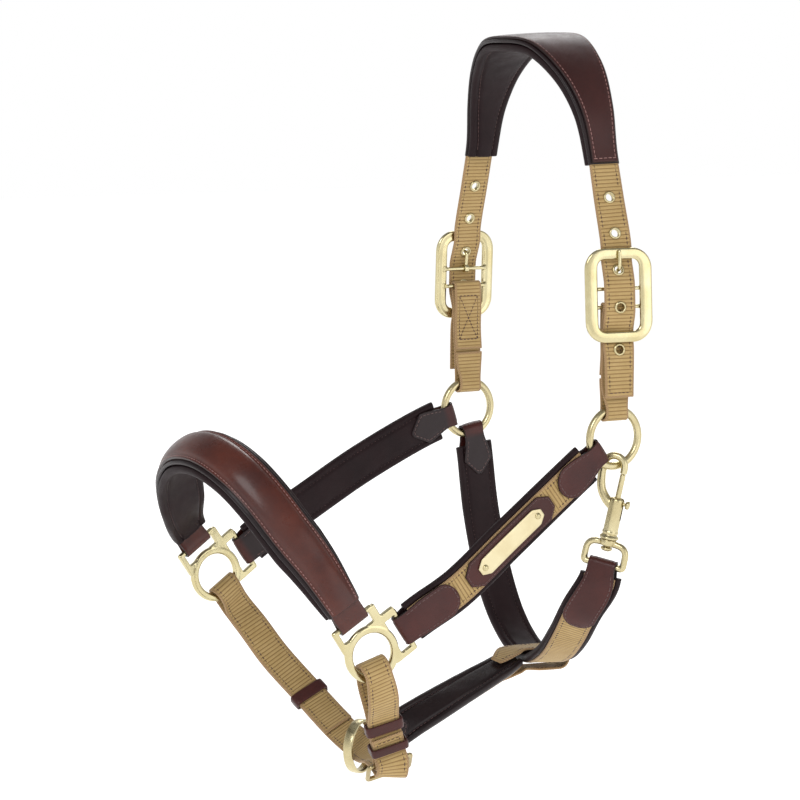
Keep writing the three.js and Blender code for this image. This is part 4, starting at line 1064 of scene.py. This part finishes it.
def noseband():
    length = nose.length
    ends = lambda along, total: ramp((np.minimum(along, total - along) - 3) / 34)

    def swell(low, high):
        return lambda share, s: low + (high - low) * np.minimum(1, 1.9 * np.sin(math.pi * share)) ** 0.8

    def dome(along, y, w, total):
        a = w / 2 - 3.4
        raised = np.sqrt(np.clip(1 - (y / a) ** 2, 0, 1)) ** 0.9
        seam = 0.3 * bump((w / 2 - np.abs(y) - 1.9) / 0.7)
        return -2.3 + (1.0 + 3.4 * ends(along, total)) * raised - seam

    wide = swell(25, 32)
    cover = Band(nose, straight(13, 4.1, length - 13, 4.1, 90), wide, 5.2, 1.0, top=dome)
    binding = Band(nose, straight(12, -0.2, length - 12, -0.2, 90), swell(28, 37.5), 3.4, 1.2)
    pad = Band(nose, straight(11, -5.4, length - 11, -5.4, 90), swell(30, 43), 6.2, 1.2,
               bottom=padded_inside(6.4))
    lay("nose_cover_padded", "face", cover, POLISHED, ("nose_cover", "nose_core"),
        edge=0.7, cols=29)
    lay("nose_edge_binding", "face", binding, GLOSSY_LINING, edge=1.7, cols=7)
    lay("nose_pad", "face", pad, LINING, "nose_lining", edge=2.9, cols=31)
    rows = [(cover, line, 1, dict(pitch=3.2)) for line in edge_lines(cover, 1.9, 2, cover.total - 2, 200)]
    sew("nose_cover_stitching", "face", PINK_THREAD, *rows)
    sew_pad("nose_pad_stitching", "face", pad, 6.4, 6, 160)
    for label, at, direction in (("left", 0, 1), ("right", length, -1)):
        path = fold(at, 0, direction, SQUARE_ROD + AIR + 1.0, 36, 36, legs=1.1)
        band = Band(nose, path, 25, 1.8, 1.0)
        lay(f"nose_loop_{label}_leather", "face", band, POLISHED, f"nose_loop_{label}",
            edge=0.6, cols=9)


# ---------- chin strap ----------
def rim_point(side, degrees):
    a, f = math.radians(degrees), squares[side]
    flat = vec(0, math.cos(a), math.sin(a))
    flat = unit(flat - f[3] * (flat @ f[3]))
    return f[0] + flat * (SQUARE_HOLE + SQUARE_OUTER) / 2


FAR_RIM, NEAR_RIM = rim_point(-1, -56), rim_point(1, -80)
CHIN_BAR = vec(84, -172, -530)
TAIL_LIFT = 2.7
KEEPERS = dict(upper=44.0, lower=62.0, far=108.0)
chin_near = Route([NEAR_RIM, (101, -190, -478), (94, -183, -499), (88, -176.5, -516), CHIN_BAR],
                  [(1, -0.05, -0.2), (1, -0.12, -0.25), (1, -0.15, -0.3), (1, -0.15, -0.3),
                   (1, -0.12, -0.35)], 500)


def chin_route():
    def outside(s, lift):
        p, _, n, _ = (x[0] for x in chin_near.at(s))
        return p + n * lift
    f = squares[-1]
    start = FAR_RIM + unit(FAR_RIM - f[0]) * 13
    points = [FAR_RIM, start, (-94, -196, -454), (-79, -184, -477), (-49, -170, -503), (-12, -163, -523),
              (20, -162, -531.5), (46, -165, -534), (60, -168, -533.8), (68, -169.5, -533.8),
              (76, -170.5, -536.8), (85.5, -172, -540), outside(chin_near.length - 2, 6.4),
              outside(chin_near.length - 9, TAIL_LIFT), outside(chin_near.length - 18, TAIL_LIFT),
              outside(KEEPERS["upper"] + 7.5, TAIL_LIFT)]
    normals = [f[3], f[3], (-0.9, 0.2, -0.4), (-0.8, 0.35, -0.5), (-0.6, 0.4, -0.75), (-0.4, 0.5, -0.8),
               (-0.2, 0.6, -0.8), (-0.15, 0.3, -0.95), (0, 0, -1), (0, 0, -1), (0.1, -0.1, -1),
               (0.6, -0.2, -0.8), (1, -0.15, -0.4), (1, -0.15, -0.3), (1, -0.15, -0.3), (1, -0.15, -0.3)]
    return Route(points, normals)


chin = chin_route()


def keeper(place, route, low, high, long):
    """A narrow loop of leather round the straps, a little swollen in the middle of its width."""
    p, _, n, w = (x[0] for x in route.at(KEEPERS[place]))
    f = (p + n * (low + high) / 2, w, n, np.cross(w, n))
    wide, tall = WEB_WIDTH + 1.6, high - low
    outer, inner = outline(wide + 3.2, tall + 3.2, 2.6, 96), outline(wide, tall, 1.2, 96)
    h = long / 2
    profile = [(0, -h + 0.4), (0, h - 0.4), (0.3, h), (0.7, h), (0.92, h - 0.5), (1, h - 1.4), (1.06, 0),
               (1, -h + 1.4), (0.92, -h + 0.5), (0.7, -h), (0.3, -h)]
    shape = rounded_band(f, outer, inner, profile)
    away_from_edges = np.tile(vec(0, 0, 9), (len(shape[0]), 1))
    obj = make(f"chin_keeper_{place}_loop", shape, away_from_edges, sharp=60)
    piece(obj, f"keeper_{place}", HAVANA, f"chin_keeper_{place}")


def chin_pieces():
    doubled = fold(0, 0, 1, 6.2, chin.length, 150, reach=4.6, legs=1.2, settle=18)
    waist = lambda at, spread: lambda share, s: WEB_WIDTH - 3.5 * bump((s - at) / spread)
    strap, _ = woven("chin_strap", "chin", chin, doubled, waist(0, 14))
    tail = [(WEB_SEAM, y) for y in np.linspace(-8.9, 8.9, 9)]
    rows = both_faces(strap, WEB_SEAM, 2, 300) + [(strap, tail, face, SUNK) for face in (1, -1)]
    sew("chin_strap_stitching", "chin", BROWN_THREAD, *rows)
    keeper("far", chin, -2.8, 2.8, 10)
    end, bow = chin_near.length, 1.8 + AIR + WEB_THICK / 2
    path = [(49, -1.2), (36, -1.2), (29.5, -3.4), (20, -7.2), (8, -9.4)] + arc(-6, 0, 9, 265, 95, 14)
    path += [(8, 9.4), (20, 7.2), (29.5, 3.4), (36, 1.2), (49, 1.2), (58, 1.2), (end - 10, 1.3),
             (end - 4.5, 2.4)]
    path += arc(end, 0, bow, 90, -90, 10) + [(end - 4.5, -2.4), (end - 10, -1.3), (51.2, -1.2)]
    loop, _ = woven("chin_chape", "chin", chin_near, path, waist(-10, 16))
    sew("chin_chape_stitching", "chin", BROWN_THREAD, *both_faces(loop, 3, 3, 200))
    keeper("upper", chin_near, -2.8, 2.8, 9)
    keeper("lower", chin_near, -2.8, TAIL_LIFT + 4.0, 7)
    chin_buckle()
    chin_ring()


def chin_buckle():
    half, length, r = 17.0, 19.0, 1.8
    across = chin_near.at(chin_near.length)[3][0]
    aim = vec(-0.72, 0.02, -0.7)
    along = unit(aim - across * (aim @ across))
    at = lambda x, y: CHIN_BAR + across * x + along * y
    corners = [at(x, y) for x, y in ((-half, 0), (half, 0), (half, length), (-half, length))]
    wire = bent_wire(bent(corners, (2.5,) * 4), np.cross(across, along), r)
    # The buckle takes the darker brass, which paints the shade it hangs in.
    fitting(("chin_buckle_cast", wire), "chin", "chin_buckle", SHADED_BRASS)


ring_turn = math.radians(CHIN_TURN)
RING_AXIS = vec(math.cos(ring_turn), math.sin(ring_turn), 0)
RING_BACK = vec(-math.sin(ring_turn), math.cos(ring_turn), 0)


def chin_ring():
    f = local_frame(CHIN_CENTRE, (0, 0, 1), RING_AXIS)
    a, b, h = CHIN_RADIUS - 1.1, CHIN_RADIUS + 1.1, 4.0
    profile = [(a, 1.0 - h), (a + 0.3, 0.3 - h), (a + 1.1, -h), (b - 0.3, 0.3 - h), (b, 1.0 - h),
               (b + 0.15, 0), (b, h - 1.0), (b - 0.3, h - 0.3), (a + 1.1, h), (a + 0.3, h - 0.3),
               (a, h - 1.0), (a - 0.1, 0)]
    fitting(("chin_ring_band", lathe(f, profile, 120)), "chin_ring", "chin_ring")


# ---------- throat strap, snap and jowl strap ----------
snap_frame = local_frame((106.5, 8.6, -374), (0.135, 0.16, 0.978), (0.64, -0.77, 0))


def throat_route():
    facing = snap_frame[3]
    at_eye = lambda lower: in_frame(snap_frame, [(0, SNAP_EYE_BAR - lower, 0)])[0] - facing * ROD_H
    points = [(-RING_X + ROD_H, RING_Y, RING_Z), (-110.6, 18, -328), (-107.5, 23, -380), (-91, 25, -430),
              (-69, 25, -464), (-40, 23.5, -485), (-14, 22, -490.5), (28, 11, -479), (64, 0, -457),
              (91, -5, -430), at_eye(16), at_eye(0)]
    normals = [(-1, 0, 0), (-1, 0, 0), (-1, 0.05, -0.3), (-0.9, 0.1, -0.5), (-0.6, 0.05, -0.8),
               (-0.3, 0, -1), (-0.05, 0, -1), (0.3, -0.25, -0.9), (0.5, -0.5, -0.7), (0.6, -0.65, -0.5),
               (0.64, -0.72, -0.3), facing]
    return Route(points, normals)


throat = throat_route()


def throat_strap():
    length = throat.length
    padded_strap("throat", "throat", throat, RING_RADIUS + 10, length - 9)
    tab("throat_tab_right", "throat", throat, RING_RADIUS, 1, RING_WIRE + AIR + LEATHER / 2, TAB_AT_RING,
        40, 34, reach=RING_REACH)
    tab("throat_tab_left", "throat", throat, length, -1, SNAP_EYE_WIRE + AIR + LEATHER / 2, 22, 58, 40)


def snap_eye(f):
    h, bar, wire = SNAP_EYE_HALF, SNAP_EYE_BAR, SNAP_EYE_WIRE
    corners = in_frame(f, [(-h, bar, 0), (-h, -1.8, 0), (h, -1.8, 0), (h, bar, 0)])
    parts = [bent_wire(bent(corners, (2.5, 9, 9, 2.5)), f[3], wire)]
    boss = [(2.9, -3.9), (4.6, -3.9), (5.6, -3.2), (6.1, -1.5), (6.2, 0.8), (5.7, 1.5), (2.9, 1.5)]
    parts.append(lathe(f, boss, 48, "v"))
    fitting(cast("snap_eye_cast", parts, 0.38, 4), "throat", "snap_eye")


def snap_body(f):
    stem = [(0.01, -8.2), (2.2, -8.0), (3.9, -7.2), (4.5, -6.2), (4.4, -5), (2.4, -5), (2.4, 1.9),
            (6.9, 1.9), (7.4, 2.6), (7.4, 3.6), (6.4, 4.6), (5.4, 5.6), (6.3, 6.4), (6.3, 7.6), (5.8, 8.4),
            (5.7, 32.0), (5.2, 33.6), (4.2, 34.3), (0.01, 34.3)]
    top = 57.5
    bend = [(-2, 27), (-8.5, 31), (-14, 38), (-2 * SNAP_HOOK, 48), (-2 * SNAP_HOOK, top)]
    over = [(-SNAP_HOOK + SNAP_HOOK * math.cos(math.radians(d)),
             top + SNAP_HOOK * math.sin(math.radians(d))) for d in (150, 120, 90, 60, 30, 0)]
    line = catmull(in_frame(f, [(x, y, 0) for x, y in [*bend, *over, (0, 53.4)]]), np.linspace(0, 1, 90))
    size = SNAP_WIRE * np.interp(np.linspace(0, 1, 90), [0, 0.15, 0.5, 0.9, 1],
        [1.45, 1.25, 1.0, 1.0, 0.96])
    body = cast("snap_body_cast", [lathe(f, stem, 48, "v", closed=False), tube(line, size, 24)], 0.4, 3,
                keep=0.7)
    slot = make("slot", box(f, (0.3, 17.5, -1.7), (9, 37.5, 1.7)))
    bore = make("bore", lathe(f, [(0.01, 7.5), (2.6, 7.5), (2.6, 36.5), (0.01, 36.5)], 32, "v",
        closed=False))
    carve(body, slot, bore)
    body.data.set_sharp_from_angle(angle=math.radians(50))
    fitting(body, "snap", "snap_body")


def snap_bolt(f):
    pin = [(0.01, 19.2), (2.0, 19.2), (2.2, 19.5), (2.2, 52.4), (1.9, 52.9), (0.01, 53.0)]
    knob_at = in_frame(f, [(8.6, 30.5, 0)])[0]
    knob_frame = (knob_at, f[2], f[1], f[3])
    knob = [(0.01, -1.4), (2.2, -1.4), (3.0, -0.9), (3.4, 0.2), (3.3, 1.0), (2.5, 1.6), (1.2, 1.9),
            (0.01, 1.95)]
    parts = [lathe(f, pin, 32, "v", closed=False), rod(*in_frame(f, [(0, 30.5, 0), (8, 30.5, 0)]), 1.35),
             lathe(knob_frame, knob, 36, "v", closed=False)]
    fitting(cast("snap_bolt_cast", parts, 0.3, 3), "bolt", "snap_bolt")


LOOP_AT = -14


def jowl_route():
    rise = math.radians(-4)
    radial = RING_BACK * math.cos(rise) + vec(0, 0, math.sin(rise))
    from_ring = lambda r: vec(*CHIN_CENTRE) + radial * r + RING_AXIS * ROD_H
    p, _, n, w = (x[0] for x in throat.at(throat.s[np.argmax(throat.p[:, 0] >= LOOP_AT)]))
    points = [from_ring(CHIN_RADIUS), from_ring(CHIN_RADIUS + 16), (0.5, -104, -523), (-4, -60, -508),
              (-10, -20, -495.5), *(p - w * y for y in (-20, 0, 20))]
    side = -RING_AXIS
    return Route(points, [side, side, (-0.7, -0.2, -0.65), (-0.5, 0, -0.9), (-0.2, 0, -1), n, n, n])


def jowl_strap():
    route = jowl_route()
    end = route.length - 20
    padded_strap("jowl", "jowl", route, 17, end - 26, width=28.0, glossy=True)
    tab("jowl_tab", "jowl", route, 0, 1, 7, 14, 62, 42, full=24, depth=4.8, reach=0.6, legs=LEGS + 0.5,
        dark=True)
    path = fold(end, ROD_H, -1, 8.2, 48, 44, reach=14, legs=LEGS + 2.8, settle=24)
    tapered = lambda share, s: WEB_WIDTH * np.minimum(1, 0.42 + 4 * np.minimum(share, 1 - share))
    band, _ = woven("jowl_loop", "jowl", route, path, tapered)
    sew("jowl_loop_stitching", "jowl", BROWN_THREAD, *both_faces(band, 3, 3, 160))


crown()
for side, label in SIDES:
    billet(side, label)
    buckle(side, label)
    chape(side, label)
    cheek_ring(side, label)
    square(side, label)
    cheek(side, label)
name_plate()
noseband()
chin_pieces()
throat_strap()
for part in (snap_eye, snap_body, snap_bolt):
    part(snap_frame)
jowl_strap()
spring = frame["nodes"]["snap_spring"]
spring.data.materials.clear()
spring.data.materials.append(STEEL)


# ---------- stage ----------
# In metres and watts.
FLOOR_Z, FLOOR_HALF, FLOOR_GLOW = -0.60, 8, 0.62
LIT_POINT = (0, -0.1, -0.27)
LIGHTS = (("key", (1.6, -1.9, 1.5), 1.3, 26), ("fill", (2.2, 0.8, 0.2), 1.6, 7),
          ("rim", (-1.6, 1.2, 1.4), 1.2, 16))
CAMERA_AIM, CAMERA_BACK = (0, -0.11468, -0.26871), (0.8595, -0.4963, 0.1219)
CAMERA_AWAY, CAMERA_LENS = 2.4, 139.5
SKY = (0.10, 0.65, 1.0, 0.32)  # white at the horizon, darker overhead


def area(name, place, target, size, power):
    light = bpy.data.lights.new(name, "AREA")
    light.shape, light.size, light.energy = "DISK", size, power
    obj = bpy.data.objects.new(name, light)
    obj.location = place
    obj.rotation_euler = (Vector(target) - Vector(place)).to_track_quat("-Z", "Y").to_euler()
    bpy.context.scene.collection.objects.link(obj)


def stage():
    corners = FLOOR_HALF * vec((-1, -1, 0), (1, -1, 0), (1, 1, 0), (-1, 1, 0)) + (0, 0, FLOOR_Z)
    floor = make("floor", (corners, [[0, 1, 2, 3]]), scale=1.0)
    look = Look("pale_floor", 0.9, Specular_IOR_Level=0.1, Emission_Color=(1, 1, 1, 1),
                Emission_Strength=FLOOR_GLOW)
    look.colour(look.mix(look.span(look.noise(3, 2), 0.3, 0.7), (0.93, 0.93, 0.93), (0.95, 0.95, 0.95)))
    floor.data.materials.append(look.material)
    world = bpy.data.worlds.new("studio")
    world.use_nodes = True
    tree = world.node_tree
    coords, split = tree.nodes.new("ShaderNodeTexCoord"), tree.nodes.new("ShaderNodeSeparateXYZ")
    shade = tree.nodes.new("ShaderNodeMapRange")
    for key, value in zip(("From Min", "From Max", "To Min", "To Max"), SKY):
        shade.inputs[key].default_value = value
    back = tree.nodes["Background"]
    back.inputs["Color"].default_value = (1, 1, 1, 1)
    tree.links.new(coords.outputs["Generated"], split.inputs[0])
    tree.links.new(split.outputs[2], shade.inputs["Value"])
    tree.links.new(shade.outputs["Result"], back.inputs["Strength"])
    bpy.context.scene.world = world
    for name, place, size, power in LIGHTS:
        area(name, place, LIT_POINT, size, power)
    bpy.context.scene.view_settings.view_transform = "Standard"


def camera():
    data = bpy.data.cameras.new("view")
    data.lens, data.sensor_width = CAMERA_LENS, 36
    obj = bpy.data.objects.new("view", data)
    back = Vector(CAMERA_BACK).normalized()
    obj.location = Vector(CAMERA_AIM) + back * CAMERA_AWAY
    obj.rotation_mode = "QUATERNION"
    obj.rotation_quaternion = (-back).to_track_quat("-Z", "Y")
    bpy.context.scene.collection.objects.link(obj)
    bpy.context.scene.camera = obj


camera()
stage()
